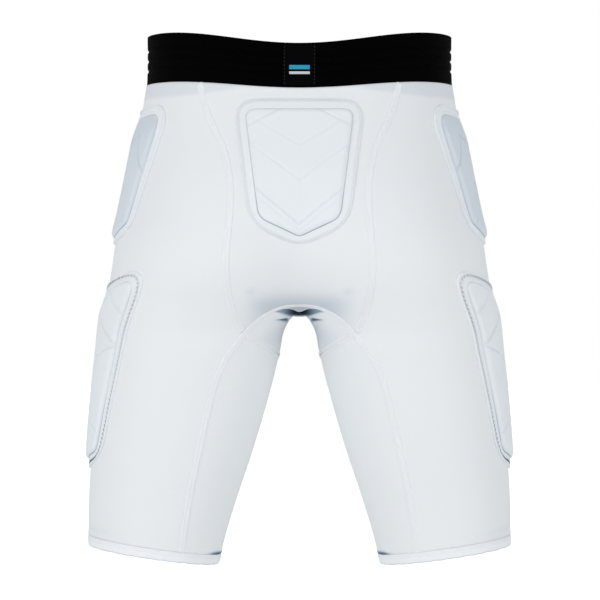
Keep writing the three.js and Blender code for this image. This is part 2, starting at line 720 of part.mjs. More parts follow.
// A pad on the cloth. chart gives the cloth's point at millimetres across and down from the top's middle.
function addPad(name, shape, addPieces) {
  const { corners, channels, corner, halfWidth, height, chart } = shape;
  const outline = corners.map(({ across, down }) => new THREE.Vector2(across * halfWidth, down * height));
  const rims = {
    outer: padRim(outline, 0, corner),
    window: padRim(outline, padBorder, corner),
    core: padRim(outline, padBorder + coreGap, corner),
    crown: padRim(outline, padBorder + coreGap + foamEdge, corner),
  };
  const middle = new THREE.Vector2(0, height / 2);
  const over = (at, lift) => raised(chart(at.x, at.y), lift);

  const borderProfile = [[2, 0], [1, 0], [1, 1], [2, 1], [2, 0]].map(([r, y]) => new THREE.Vector2(r, y));
  const border = padRings(borderProfile, (step, ringShare, level) =>
    over((ringShare > 1.5 ? rims.outer : rims.window)[step], seatGap + level * borderWall),
  );
  addPieces(name + "_border", border);

  const domeAt = (at) => {
    const across = Math.min(Math.abs(at.x / halfWidth), 1);
    const down = Math.min(Math.abs((at.y - middle.y) / middle.y), 1);
    return foamWall + foamDome * (1 - across ** 2) * (1 - down ** 2);
  };
  const sideLevel = 2;
  const crownLevel = 3;
  const coreProfile = [
    ...coreRings.map((share) => new THREE.Vector2(share, 0)),
    new THREE.Vector2(1, sideLevel),
    ...coreRings.map((share) => new THREE.Vector2(share, crownLevel)).reverse(),
  ];
  const core = padRings(coreProfile, (step, ringShare, level) => {
    if (level > sideLevel) {
      const at = middle.clone().lerp(rims.crown[step], ringShare);
      return over(at, domeAt(at));
    }
    const at = middle.clone().lerp(rims.core[step], ringShare);
    return over(at, level > 0 ? foamWall - foamEdge : coreSeat);
  });

  let foam = toSolid(core);
  const clear = 3; // how far a channel's cutter stands over the foam
  const channelEnd = 0.3; // its width at the ends, of its width in the middle
  const nearby = 0.01; // of its length, for its direction
  for (const { from, past, to, bent } of channels) {
    const [start, via, end] = [from, past, to].map(([a, d]) => new THREE.Vector2(a * halfWidth, d * height));
    const line = new THREE.CurvePath();
    if (bent) {
      line.add(new THREE.LineCurve(start, via));
      line.add(new THREE.LineCurve(via, end));
    } else {
      line.add(new THREE.QuadraticBezierCurve(start, via, end));
    }
    const cutter = reshaped(new THREE.BoxGeometry(1, 1, 1, 1, 1, channelSteps), (x, y, z) => {
      const t = z + 0.5;
      const at = line.getPoint(t);
      const aim = line.getPoint(Math.min(t + nearby, 1)).sub(line.getPoint(Math.max(t - nearby, 0)));
      const sideways = new THREE.Vector2(-aim.y, aim.x).normalize();
      const wide = y > 0 ? channelWidth : channelWidth / 5;
      const taper = Math.max(Math.sin(Math.PI * t) ** 0.5, channelEnd);
      const aside = at.clone().addScaledVector(sideways, x * wide * taper);
      return over(aside, domeAt(at) + (y > 0 ? clear : -channelDepth));
    });
    foam = foam.subtract(toSolid(cutter));
  }
  addPieces(name + "_core", toGeometry(foam));
}

// The tailbone pad lies on the middle of the back.
const tailPad = {
  corners: tailPadCorners,
  channels: tailPadChannels,
  corner: tailPadCorner,
  halfWidth: tailPadWidth / 2,
  height: tailPadHeight,
  chart: (across, down) => seenFrom(1, across, -tailPadDrop - down),
};
addPad("tailbone_pad", tailPad, (name, geometry) => add(name, geometry, padCover));

// The hip and thigh pads wrap round the side.
function sidePad({ corners, channels, corner, wrap, height, drop, turn, lean }) {
  const middleZ = -drop - height / 2;
  const nearby = 10; // degrees, for measuring the girth
  const span = roundHalf(turn - nearby, middleZ).distanceTo(roundHalf(turn + nearby, middleZ));
  const perDegree = span / (2 * nearby);
  return {
    corners,
    channels,
    corner,
    halfWidth: (wrap / 2) * perDegree,
    height,
    chart: (across, down) => roundHalf(turn + (lean * down) / height + across / perDegree, -drop - down),
  };
}
const hipPad = sidePad({
  corners: hipPadCorners,
  channels: hipPadChannels,
  corner: hipPadCorner,
  wrap: hipPadWrap,
  height: hipPadHeight,
  drop: hipPadDrop,
  turn: hipPadRound,
  lean: hipPadLean,
});
const thighPad = sidePad({
  corners: thighPadCorners,
  channels: thighPadChannels,
  corner: thighPadCorner,
  wrap: thighPadWrap,
  height: thighPadHeight,
  drop: thighPadDrop,
  turn: thighPadRound,
  lean: thighPadLean,
});
addPad("hip_pad", hipPad, (name, geometry) => addPair(name, geometry, padCover));
addPad("thigh_pad", thighPad, (name, geometry) => addPair(name, geometry, padCover));

export default shorts;
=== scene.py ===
# Padded compression shorts for sport, filled out as they are when worn.
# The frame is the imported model's: metres, +Z up, +X the wearer's left, -Y the wearer's front.
import math

import bmesh
import bpy
import numpy as np
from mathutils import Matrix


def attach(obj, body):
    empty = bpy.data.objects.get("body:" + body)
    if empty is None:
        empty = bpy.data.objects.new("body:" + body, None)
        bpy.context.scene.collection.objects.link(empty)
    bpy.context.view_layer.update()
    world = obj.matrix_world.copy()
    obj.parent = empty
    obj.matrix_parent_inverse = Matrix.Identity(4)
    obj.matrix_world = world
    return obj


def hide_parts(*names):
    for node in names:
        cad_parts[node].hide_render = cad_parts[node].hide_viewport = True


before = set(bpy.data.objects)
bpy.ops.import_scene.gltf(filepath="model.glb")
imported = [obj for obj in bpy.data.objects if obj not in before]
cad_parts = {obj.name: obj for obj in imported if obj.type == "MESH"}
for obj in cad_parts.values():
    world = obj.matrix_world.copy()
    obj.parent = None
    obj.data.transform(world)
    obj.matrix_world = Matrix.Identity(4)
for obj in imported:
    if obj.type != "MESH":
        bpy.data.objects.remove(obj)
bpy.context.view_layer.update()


# The wearer's form, which the stretched cloth follows.
# Two halves, each a rounded oval at every level, run together above the crotch, and a pouch is in front.
# All sizes in the functions of this script are millimetres, and a mesh is brought to metres when it is made.
mm = 0.001
waist_width, waist_back, waist_front = 292, 102, 106
hip_width, seat_back, belly_front = 374, 140, 112
thigh_back, thigh_front = 103, 97
hem_span, hem_between, hem_back, hem_front = 404, 154, 70, 66
waist_to_crotch, inseam = 245, 236
waist_lap, seat_web = 62, 26
pouch_sizes = (42, 46, 62)
pouch_forward = 58
section_power = 2.15

# drop of waist_to_crotch, swell to the hip's width, seat, belly, lap of waist_lap, web of seat_web
torso_rows = [
    (-0.2, 0.0, -0.06, 0.0, 1.0, 0.6),
    (0.08, 0.0, 0.06, 0.05, 1.0, 0.6),
    (0.18, 0.09, 0.2, 0.3, 0.98, 0.7),
    (0.32, 0.21, 0.47, 0.75, 0.9, 0.85),
    (0.46, 0.36, 0.76, 1.0, 0.78, 1.0),
    (0.6, 0.54, 0.96, 0.95, 0.62, 1.0),
    (0.7, 0.7, 1.0, 0.6, 0.48, 0.95),
    (0.8, 0.79, 0.93, 0.1, 0.32, 0.95),
    (0.88, 0.87, 0.72, -0.4, 0.17, 0.88),
    (0.95, 0.93, 0.44, -0.8, 0.0, 0.64),
    (1.0, 0.975, 0.26, -1.1, -0.14, 0.34),
]
# drop of inseam, spread to the hem's span, gap of half of hem_between, taper to the hem's depth, web
leg_rows = [
    (0.06, 0.05, 0.2, -0.08, 0.3),
    (0.13, 0.14, 0.24, 0.0, 0.3),
    (0.33, 0.48, 0.39, 0.24, 0.3),
    (0.54, 0.79, 0.58, 0.5, 0.3),
    (0.74, 0.98, 0.785, 0.76, 0.3),
    (0.91, 1.01, 0.94, 0.93, 0.3),
    (1.1, 1.0, 1.07, 1.08, 0.3),
]


def mix(a, b, share):
    return a + (b - a) * share


def smooth(low, high, value):
    t = np.clip((value - low) / (high - low), 0, 1)
    return t * t * (3 - 2 * t)


def hump(value, middle, width):
    """1 at the middle, and falling away softly on both sides."""
    return np.exp(-(((value - middle) / width) ** 2))


def curve_through(at, value):
    """A smooth curve through points, level at neither end."""
    at, value = np.asarray(at, float), np.asarray(value, float)
    before = np.maximum(np.arange(len(at)) - 1, 0)
    after = np.minimum(np.arange(len(at)) + 1, len(at) - 1)
    slope = (value[after] - value[before]) / (at[after] - at[before])

    def curve(where):
        i = np.clip(np.searchsorted(at, where) - 1, 0, len(at) - 2)
        span = at[i + 1] - at[i]
        t = np.clip((where - at[i]) / span, 0, 1)
        rest = 1 - t
        start = value[i] * rest * rest * (1 + 2 * t) + slope[i] * span * t * rest * rest
        return start + value[i + 1] * t * t * (3 - 2 * t) - slope[i + 1] * span * t * t * rest

    return curve


def body_levels():
    drop, swell, seat, belly, lap, web = np.array(torso_rows).T
    torso = [
        drop * waist_to_crotch,
        mix(waist_width, hip_width, swell) / 2,
        -lap * waist_lap,
        mix(waist_back, seat_back, seat),
        mix(waist_front, belly_front, belly),
        web * seat_web,
    ]
    drop, spread, gap, taper, web = np.array(leg_rows).T
    legs = [
        waist_to_crotch + drop * inseam,
        mix(hip_width, hem_span, spread) / 2,
        gap * hem_between / 2,
        mix(thigh_back, hem_back, taper),
        mix(thigh_front, hem_front, taper),
        web * seat_web,
    ]
    return np.hstack([torso, legs])


levels = body_levels()
out_at, inner_at, back_at, front_at, web_at = (curve_through(levels[0], row) for row in levels[1:])


def half_at(z):
    """The middle of the left half at a level, and its half-width and half-depth."""
    out, inner, back, front = out_at(-z), inner_at(-z), back_at(-z), front_at(-z)
    return (out + inner) / 2, (back - front) / 2, (out - inner) / 2, (back + front) / 2


def beyond(offsets, half_sizes, power):
    far = np.maximum(np.sqrt(sum(d * d for d in offsets)), 1e-6)
    share = sum(np.abs(d / size) ** power for d, size in zip(offsets, half_sizes)) ** (1 / power)
    return far * (1 - 1 / np.maximum(share, 1e-6))


def softer(a, b, web):
    """The smaller of two distances, rounded off where they are close."""
    return np.minimum(a, b) - web * np.log1p(np.exp(-np.abs(a - b) / web))


def outside(p):
    """How far points lie outside the cloth."""
    x, y, z = p[..., 0], p[..., 1], p[..., 2]
    mid_x, mid_y, width, depth = half_at(z)
    web = web_at(-z)
    left = beyond([x - mid_x, y - mid_y], [width, depth], section_power)
    right = beyond([x + mid_x, y - mid_y], [width, depth], section_power)
    pouch = beyond([x, y + pouch_forward, z + waist_to_crotch - pouch_sizes[2]], pouch_sizes, 2)
    return softer(softer(left, right, web), pouch, web / 2)


def normal_at(p):
    step = 0.5
    ways = [outside(p + step * axis) - outside(p - step * axis) for axis in np.eye(3)]
    return np.stack(ways, -1) / (2 * step)


def unit(v):
    return v / np.maximum(np.linalg.norm(v, axis=-1, keepdims=True), 1e-9)


def settle(p):
    """Moves points onto the cloth by the shortest way."""
    for _ in range(8):
        gradient = normal_at(p)
        squared = np.maximum((gradient**2).sum(-1), 0.05)
        p = p - gradient * (outside(p) / squared)[:, None]
    return p


def raised(p, height):
    height = np.broadcast_to(np.asarray(height, float), p.shape[:-1])
    return p + unit(normal_at(p)) * height[..., None]


def leave(start, way, near, far):
    """Where lines that start inside the cloth leave it."""
    near, far = near.copy(), far.copy()
    for _ in range(24):
        middle = (near + far) / 2
        is_out = outside(start + way * middle[:, None]) > 0
        far = np.where(is_out, middle, far)
        near = np.where(is_out, near, middle)
    return start + way * ((near + far) / 2)[:, None]


def points(x, y, z):
    return np.stack(np.broadcast_arrays(np.asarray(x, float), y, z), -1).astype(float)


def seen_from(facing, x, z):
    """The cloth's points that someone behind (1) or in front (-1) sees at x and z."""
    stride, first = 4, 152
    x, z = np.broadcast_arrays(np.asarray(x, float), np.asarray(z, float))
    y, moving = np.full(x.shape, float(first)), np.ones(x.shape, bool)
    while moving.any() and (y[moving] > stride).any():
        ahead = np.flatnonzero(moving)
        is_out = outside(points(x[ahead], facing * (y[ahead] - stride), z[ahead])) > 0
        is_out &= y[ahead] > stride
        y[ahead[is_out]] -= stride
        moving[ahead[~is_out]] = False
    way = points(0 * x, facing, 0)
    return leave(points(x, 0, z), way, y - stride, y)


def round_half(angle, z):
    """The cloth's points round the left half: 0 degrees is straight back, 90 the left, 180 the front."""
    angle, z = np.broadcast_arrays(np.asarray(angle, float), np.asarray(z, float))
    mid_x, mid_y, _, _ = half_at(z)
    way = points(np.sin(np.radians(angle)), np.cos(np.radians(angle)), 0)
    to_middle = np.where(way[..., 0] < -1e-9, mid_x / np.maximum(-way[..., 0], 1e-9), 1e9)
    longest = np.minimum(hip_width / 2, to_middle)
    return leave(points(mid_x, mid_y, z), way, 0 * longest, longest)


def round_waist(angle, z):
    angle, z = np.broadcast_arrays(np.asarray(angle, float), np.asarray(z, float))
    way = points(np.sin(np.radians(angle)), np.cos(np.radians(angle)), 0)
    return leave(points(0, 0, z), way, 0 * z, np.full(z.shape, hip_width / 2))


def angle_of(p, facing):
    mid_x, mid_y, _, _ = half_at(p[..., 2])
    turn = np.degrees(np.arctan2(p[..., 0] - mid_x, facing * (p[..., 1] - mid_y)))
    return turn if facing > 0 else 180 - turn


# The materials share these finishes, and a painted shade that darkens the knit where shade falls.
# The knit is a fine ribbed jersey, so close that it shows as a soft grain. The stitching stands over it.
def node(tree, kind, **values):
    made = tree.nodes.new(kind)
    for key, value in values.items():
        setattr(made, key, value)
    return made


def math_node(tree, operation, a, b=None):
    made = node(tree, "ShaderNodeMath", operation=operation)
    for i, value in enumerate((a, b)):
        if value is None:
            continue
        if isinstance(value, (int, float)):
            made.inputs[i].default_value = value
        else:
            tree.links.new(value, made.inputs[i])
    return made.outputs[0]


def times(tree, a, b):
    return math_node(tree, "MULTIPLY", a, b)


def waves(tree, value, pitch):
    return math_node(tree, "SINE", times(tree, value, 2 * math.pi / pitch))


def mixed(tree, share, a, b, blend="MIX"):
    made = node(tree, "ShaderNodeMix", data_type="RGBA", blend_type=blend)
    for i, value in ((0, share), (6, a), (7, b)):
        if hasattr(value, "node"):
            tree.links.new(value, made.inputs[i])
        else:
            made.inputs[i].default_value = value
    return made.outputs[2]


def linear(red, green, blue):
    """A colour of 0 to 255 as the shader takes it."""
    shares = [c / 255 for c in (red, green, blue)]
    return tuple(((c + 0.055) / 1.055) ** 2.4 if c > 0.04 else c / 12.92 for c in shares) + (1.0,)


def uv_axes(tree):
    """The cloth's two directions, in metres."""
    uv = node(tree, "ShaderNodeUVMap", uv_map="Cloth")
    split = node(tree, "ShaderNodeSeparateXYZ")
    tree.links.new(uv.outputs[0], split.inputs[0])
    return split.outputs[0], split.outputs[1]


def new_material(name, roughness):
    made = bpy.data.materials.new(name)
    made.use_nodes = True
    shader = made.node_tree.nodes["Principled BSDF"]
    shader.inputs["Roughness"].default_value = roughness
    return made, made.node_tree, shader


def add_bump(tree, shader, height, distance, strength=1.0):
    bump = node(tree, "ShaderNodeBump")
    bump.inputs["Distance"].default_value = distance * mm
    bump.inputs["Strength"].default_value = strength
    tree.links.new(height, bump.inputs["Height"])
    tree.links.new(bump.outputs["Normal"], shader.inputs["Normal"])


def knit_and_shade_group():
    group = bpy.data.node_groups.new("Fine knit and painted shade", "ShaderNodeTree")
    colour, number = "NodeSocketColor", "NodeSocketFloat"
    grey, drifts_in_a_metre = (0.8, 0.8, 0.8, 1), 12
    asked = [("Colour", colour, grey), ("Shade", colour, grey), ("Pitch", number, 0.8 * mm)]
    for label, kind, value in asked:
        group.interface.new_socket(name=label, in_out="INPUT", socket_type=kind).default_value = value
    for label, kind in (("Colour", colour), ("Height", number), ("Gloss", number)):
        group.interface.new_socket(name=label, in_out="OUTPUT", socket_type=kind)
    given = node(group, "NodeGroupInput")
    put = node(group, "NodeGroupOutput")
    across, down = (math_node(group, "DIVIDE", axis, given.outputs["Pitch"]) for axis in uv_axes(group))
    course_pitch, rib_height, loop_height = 1.25, 0.6, 0.4
    wale, course = waves(group, across, 1), waves(group, down, course_pitch)
    ribs = times(group, times(group, wale, wale), rib_height)
    loops = times(group, times(group, course, wale), loop_height)
    height = math_node(group, "ADD", ribs, loops)
    place = node(group, "ShaderNodeTexCoord")
    drift = node(group, "ShaderNodeTexNoise", noise_dimensions="3D")
    group.links.new(place.outputs["Object"], drift.inputs["Vector"])
    drift.inputs["Scale"].default_value = drifts_in_a_metre
    drift.inputs["Detail"].default_value = 2
    most_drift = 0.6
    share = times(group, drift.outputs["Fac"], most_drift)
    drifted = mixed(group, share, given.outputs["Colour"], given.outputs["Shade"])
    # Painted shade: the mesh's attribute darkens the colour towards a bluish grey where shade falls and turns
    # the gloss down there. It also holds the greyer second layer under the band.
    painted_shade_and_tone = node(group, "ShaderNodeAttribute", attribute_name="painted_shade_and_tone")
    fade = node(group, "ShaderNodeValToRGB")
    stops = fade.color_ramp.elements
    stops[0].color = (1, 1, 1, 1)
    stops[1].color = (0.01, 0.018, 0.032, 1)
    stops.new(0.5).color = (0.25, 0.36, 0.48, 1)
    group.links.new(painted_shade_and_tone.outputs["Fac"], fade.inputs[0])
    group.links.new(mixed(group, 1.0, drifted, fade.outputs[0], "MULTIPLY"), put.inputs["Colour"])
    group.links.new(height, put.inputs["Height"])
    group.links.new(math_node(group, "SUBTRACT", 1.0, painted_shade_and_tone.outputs["Fac"]), put.inputs["Gloss"])
    return group


knit = knit_and_shade_group()


def cloth_material(name, colour, shade, roughness, pitch=0.8, grain=0.04, sheen=0.15, specular=0.3):
    """A knit in a colour that drifts to a shade, and darkens to a bluish grey by the mesh's attribute, which
    holds painted shade and a few darker tones of the cloth.
    """
    made, tree, shader = new_material(name, roughness)
    weave = node(tree, "ShaderNodeGroup", node_tree=knit)
    weave.inputs["Colour"].default_value = linear(*colour)
    weave.inputs["Shade"].default_value = linear(*shade)
    weave.inputs["Pitch"].default_value = pitch * mm
    tree.links.new(weave.outputs["Colour"], shader.inputs["Base Color"])
    add_bump(tree, shader, weave.outputs["Height"], grain, 0.6)
    for socket, most in (("Specular IOR Level", specular), ("Sheen Weight", sheen)):
        tree.links.new(times(tree, weave.outputs["Gloss"], most), shader.inputs[socket])
    shader.inputs["Sheen Roughness"].default_value = 0.5
    return made


stretch_cloth = cloth_material("Stretch cloth", (246, 248, 249), (241, 244, 246), 0.7)
hem_cloth = cloth_material("Hem cloth", (253, 254, 255), (250, 252, 254), 0.7)
pad_cover = cloth_material("Pad cover", (246, 249, 251), (242, 245, 248), 0.6, sheen=0.1)
core_cover = cloth_material("Core cover", (246, 249, 252), (242, 246, 249), 0.6, sheen=0.1)
# The hip core's cover is a darker, bluer copy of the core cover: painted shade for the cores on the sides.
shaded_hip_cover = cloth_material("Hip core cover with painted shade", (229, 235, 241), (223, 230, 238), 0.6, sheen=0.1)
tape_cloth = cloth_material("Seam tape", (253, 254, 255), (250, 252, 254), 0.62, pitch=1.1, grain=0.08)
white_thread = cloth_material("White thread", (244, 246, 249), (238, 241, 245), 0.5, pitch=0.3)
pad_thread = cloth_material("Pad thread", (236, 241, 245), (230, 236, 241), 0.5, pitch=0.3)


# Every piece of cloth starts as a grid of quads that is laid on the form.
def on_grid(across, down, place, wide, high, join=False):
    """A grid laid by place(u, v), with v from the top down, and a UV map in metres.

    place gives the points alone, or the points and how dark each of them is painted: mostly painted shade,
    and some darker tone of the cloth.
    """
    bm = bmesh.new()
    bmesh.ops.create_grid(bm, x_segments=across, y_segments=down, size=0.5)
    bm.verts.ensure_lookup_table()
    flat = np.array([v.co[:2] for v in bm.verts]) + 0.5
    flat[:, 1] = 1 - flat[:, 1]
    laid = place(flat[:, 0], flat[:, 1])
    laid, painted_shade_and_tone = laid if isinstance(laid, tuple) else (laid, np.zeros(len(flat)))
    mask = bm.verts.layers.float.new("painted_shade_and_tone")
    for vert, at, dark in zip(bm.verts, (laid * mm).tolist(), painted_shade_and_tone.tolist()):
        vert.co = at
        vert[mask] = dark
    layer = bm.loops.layers.uv.new("Cloth")
    spread = (flat * (wide * mm, high * mm)).tolist()
    for face in bm.faces:
        face.smooth = True
        for loop in face.loops:
            loop[layer].uv = spread[loop.vert.index]
    if join:
        bmesh.ops.remove_doubles(bm, verts=bm.verts, dist=2e-6)
    return bm


def placed(name, data):
    made = bpy.data.objects.new(name, data)
    bpy.context.scene.collection.objects.link(made)
    return made


def finished(name, bm, materials, closed=True):
    """Makes a mesh the piece that stands for the CAD node of the same name in small letters."""
    if closed:
        bmesh.ops.recalc_face_normals(bm, faces=bm.faces)
    else:
        bm.faces.ensure_lookup_table()
        face = bm.faces[len(bm.faces) // 2]
        face.normal_update()
        middle = np.array(face.calc_center_median()) / mm
        if np.dot(normal_at(middle[None])[0], face.normal) < 0:
            bmesh.ops.reverse_faces(bm, faces=bm.faces)
    mesh = bpy.data.meshes.new(name)
    bm.to_mesh(mesh)
    bm.free()
    piece = placed(name, mesh)
    for material in materials:
        mesh.materials.append(material)
    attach(piece, "root")
    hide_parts(name.lower())
    return piece


def mirror(bm):
    """A copy on the wearer's other side."""
    other = bm.copy()
    bmesh.ops.scale(other, vec=(-1, 1, 1), verts=other.verts)
    bmesh.ops.reverse_faces(other, faces=other.faces)
    return other


def add_thread(bm, path, radius, material_index, sides=5, closed=False, dark=0):
    """A thread along points, as a thin tube in the same mesh."""
    path = np.asarray(path, float)
    dark = np.broadcast_to(dark, len(path)).tolist()
    mask = bm.verts.layers.float["painted_shade_and_tone"]
    ahead = np.roll(path, -1, 0) - np.roll(path, 1, 0)
    if not closed:
        ahead[0], ahead[-1] = path[1] - path[0], path[-1] - path[-2]
    out = unit(normal_at(path))
    side = unit(np.cross(out, ahead))
    turns = np.arange(sides) * 2 * np.pi / sides
    rings = []
    for i in range(len(path)):
        ring = [path[i] + radius * (math.cos(a) * side[i] + math.sin(a) * out[i]) for a in turns]
        rings.append([bm.verts.new(p * mm) for p in ring])
        for vert in rings[-1]:
            vert[mask] = dark[i]
    pairs = list(zip(rings, rings[1:])) + ([(rings[-1], rings[0])] if closed else [])
    for a, b in pairs:
        for k in range(sides):
            face = bm.faces.new((a[k], a[(k + 1) % sides], b[(k + 1) % sides], b[k]))
            face.material_index = material_index
            face.smooth = True
    if not closed:
        for ring in (rings[0][::-1], rings[-1]):
            bm.faces.new(ring).material_index = material_index


# The edges of the band and the hems, which the panels meet.
band_height, band_top, band_wall = 47, 23, 2.2
band_dips = {"top": (13, 9), "bottom": (8, 8)}
hem_height, hem_tilt, hem_wall = 10, math.radians(8.3), 2.2
band_z = band_top - band_height
hem_z = -waist_to_crotch - inseam


def dipped(p, level, dips):
    share = np.minimum(np.abs(p[..., 0]) / (waist_width / 2) / 0.95, 1)
    return level - np.where(p[..., 1] > 0, *dips) * np.cos(share * np.pi / 2) ** 2


def band_top_at(p):
    return dipped(p, band_top, band_dips["top"])


def band_bottom_at(p):
    return dipped(p, band_z, band_dips["bottom"])


def hem_bottom_at(p):
    return math.tan(hem_tilt) * (p[..., 0] - hem_between / 2) - waist_to_crotch - inseam


def hem_top_at(p):
    return hem_bottom_at(p) + hem_height


def height_on_edge(at, edge, first, like):
    z = np.full(np.shape(like), float(first))
    for _ in range(5):
        z = edge(at(z))
    return z


def on_ring(around, angle, edges, first, height, lift=0):
    """The cloth's points round a ring, at heights from 0 at its lower edge to 1 at its upper one."""

    def at(z):
        return around(angle, z)

    low, high = (height_on_edge(at, edge, first, angle) for edge in edges)
    return at(mix(low, high, height) + lift)


# The seams of the left side, each as points at shares of its way.
long_seam = [(0.1, 0.5), (0.2, 0.468), (0.295, 0.414), (0.365, 0.373), (0.475, 0.343), (0.57, 0.339)]
long_seam += [(0.685, 0.35), (0.77, 0.36), (0.86, 0.358), (0.94, 0.343), (1.0, 0.318), (1.065, 0.278)]
inner_seam = [(0.16, -22), (0.28, -18.5), (0.55, -19), (0.8, -21.5), (1.0, -24.5)]
arch_rise, arch_fall, cross_seam_dip = 0.953, 2.3, 0.155
seam_out = curve_through(*zip(*long_seam))
crossing_z = -long_seam[-1][0] * waist_to_crotch
crossing_x = long_seam[-1][1] * hip_width / 2


def seam_x(z):
    return seam_out(-z / waist_to_crotch) * hip_width / 2


def long_seam_at(facing, share):
    share = np.atleast_1d(np.asarray(share, float))
    top = float(band_bottom_at(points(seam_x(band_z), facing, 0)))
    z = mix(top, crossing_z, share)
    return seen_from(facing, seam_x(z), z)


turn_back = float(angle_of(long_seam_at(1, 1), 1)[0])
turn_front = float(angle_of(long_seam_at(-1, 1), -1)[0])


def inner_seam_at(facing, share):
    share = np.atleast_1d(np.asarray(share, float))
    start = turn_back if facing > 0 else 180 - turn_front
    drops, rounds = zip(((-crossing_z - waist_to_crotch) / inseam, start), *inner_seam)
    turn = curve_through(drops, rounds)

    def at(z):
        angle = turn((-z - waist_to_crotch) / inseam)
        return round_half(angle if facing > 0 else 180 - angle, z)

    foot = float(height_on_edge(at, hem_top_at, hem_z, [0.0])[0])
    return at(mix(crossing_z, foot, share))


def arch_at(facing, share):
    share = np.atleast_1d(np.asarray(share, float))
    z = mix(-arch_rise * waist_to_crotch, crossing_z, np.abs(share) ** arch_fall)
    return seen_from(facing, crossing_x * share, z)


def cross_seam_at(share):
    share = np.atleast_1d(np.asarray(share, float))
    lowest = -waist_to_crotch - cross_seam_dip * inseam
    angle = mix(turn_back, turn_front - 360, share)
    return round_half(angle, mix(crossing_z, lowest, np.sin(share * np.pi)))


def patch(top, bottom, start, end):
    """A smooth patch between four edges, where top and bottom run from start to end."""

    def at(u, v):
        t, b, s, e = top(u), bottom(u), start(v), end(v)
        one = np.array([0.0]), np.array([1.0])
        corners = [edge(way)[0] for edge in (top, bottom) for way in one]
        u, v = u[:, None], v[:, None]
        upper, lower = mix(corners[0], corners[1], u), mix(corners[2], corners[3], u)
        return mix(t, b, v) + mix(s, e, u) - mix(upper, lower, v)

    return at


# The panels of stretch fabric.
# Each is cut smaller than the body and pulled smooth over it. A second layer lies under the band, and shows
# as a greyer strip that narrows to nothing towards the middle. The cloth puckers a little at the hem.
# Shade is painted round the crotch, on the inner thighs and along the hem's stitch row.
cloth_wall = 0.9
strip_depth, strip_from, strip_full = 14.5, 33, 130


def pucker(turn):
    """How a seam's thread draws the cloth into small waves on its way round a leg."""
    return np.sin(23 * turn + 1.3 * np.sin(5 * turn)) + 0.6 * np.sin(41 * turn + 2)


def crotch_folds_and_shade(p):
    """The hollow under the arch with its fold at each side, as a depth and a painted shade."""
    x, z = np.abs(p[:, 0]), p[:, 2]
    facing = unit(normal_at(p))
    at_back = smooth(-0.15, 0.05, facing[:, 1])
    hollow_top, hollow_foot, hollow_end = -236.7, -244.8, 27
    tip_drop, tip_width, side_drop, side_rise = 3.0, 5.5, 2.3, 4.8
    top = hollow_top - tip_drop * hump(x, 0, tip_width) - side_drop * smooth(14, hollow_end, x)
    bottom = hollow_foot + side_rise * smooth(5, hollow_end, x)
    hollow = smooth(0, 0.9, top - z) * smooth(0, 1.2, z - bottom) * (1 - smooth(25, 28, x)) * at_back
    low = np.clip((top - z) / (top - bottom), 0, 1)
    # Painted shade in the hollow, darkest in the middle and lighter at its lower rim. Painted shade also lies
    # under the arch, along the folds, under the seat and in a soft patch at each side.
    side_dark, middle_dark, middle_width = 0.44, 0.56, 12
    rim_light = 0.5 * smooth(0.65, 1, low) * smooth(3, 8, x)
    dark = hollow * (side_dark + middle_dark * np.exp(-((x / middle_width) ** 4))) * (1 - rim_light)
    arch_share = np.minimum(x / crossing_x, 1) ** arch_fall
    arch_z = mix(-arch_rise * waist_to_crotch, crossing_z, arch_share)
    under_arch = smooth(0, 1, arch_z - z) * smooth(0, 0.6, z - top) * (1 - smooth(10, 22, x)) * at_back
    fold_z, fold_start, fold_end = -247.4, 12, 25
    fold_width = 0.9 + 0.6 * hump(x, fold_start, 3)
    fold = hump(z, fold_z, fold_width) * smooth(9, fold_start, x)
    fold *= (1 - smooth(13, fold_end, x)) * at_back
    seat = smooth(0, 24, -211 - z) ** 2 * smooth(-1, 1, z - arch_z) * (1 - smooth(22, 60, x)) * at_back
    spot_x, spot_z = 45, -221
    spot = hump(x, spot_x, 5) * hump(z, spot_z, 4) * at_back
    # Painted shade on the inner thighs, where they face each other.
    inward = -facing[:, 0] * np.sign(p[:, 0])
    between = smooth(0.7, 1, inward) * smooth(-300, -250, z) * (z < -246)
    dark = np.maximum(dark, 0.24 * under_arch)
    dark = dark + 0.75 * fold + 0.2 * seat + 0.05 * spot + 0.1 * between
    hollow_depth, fold_depth = 1.0, 1.2
    return hollow_depth * hollow + fold_depth * fold, np.clip(dark, 0, 1)


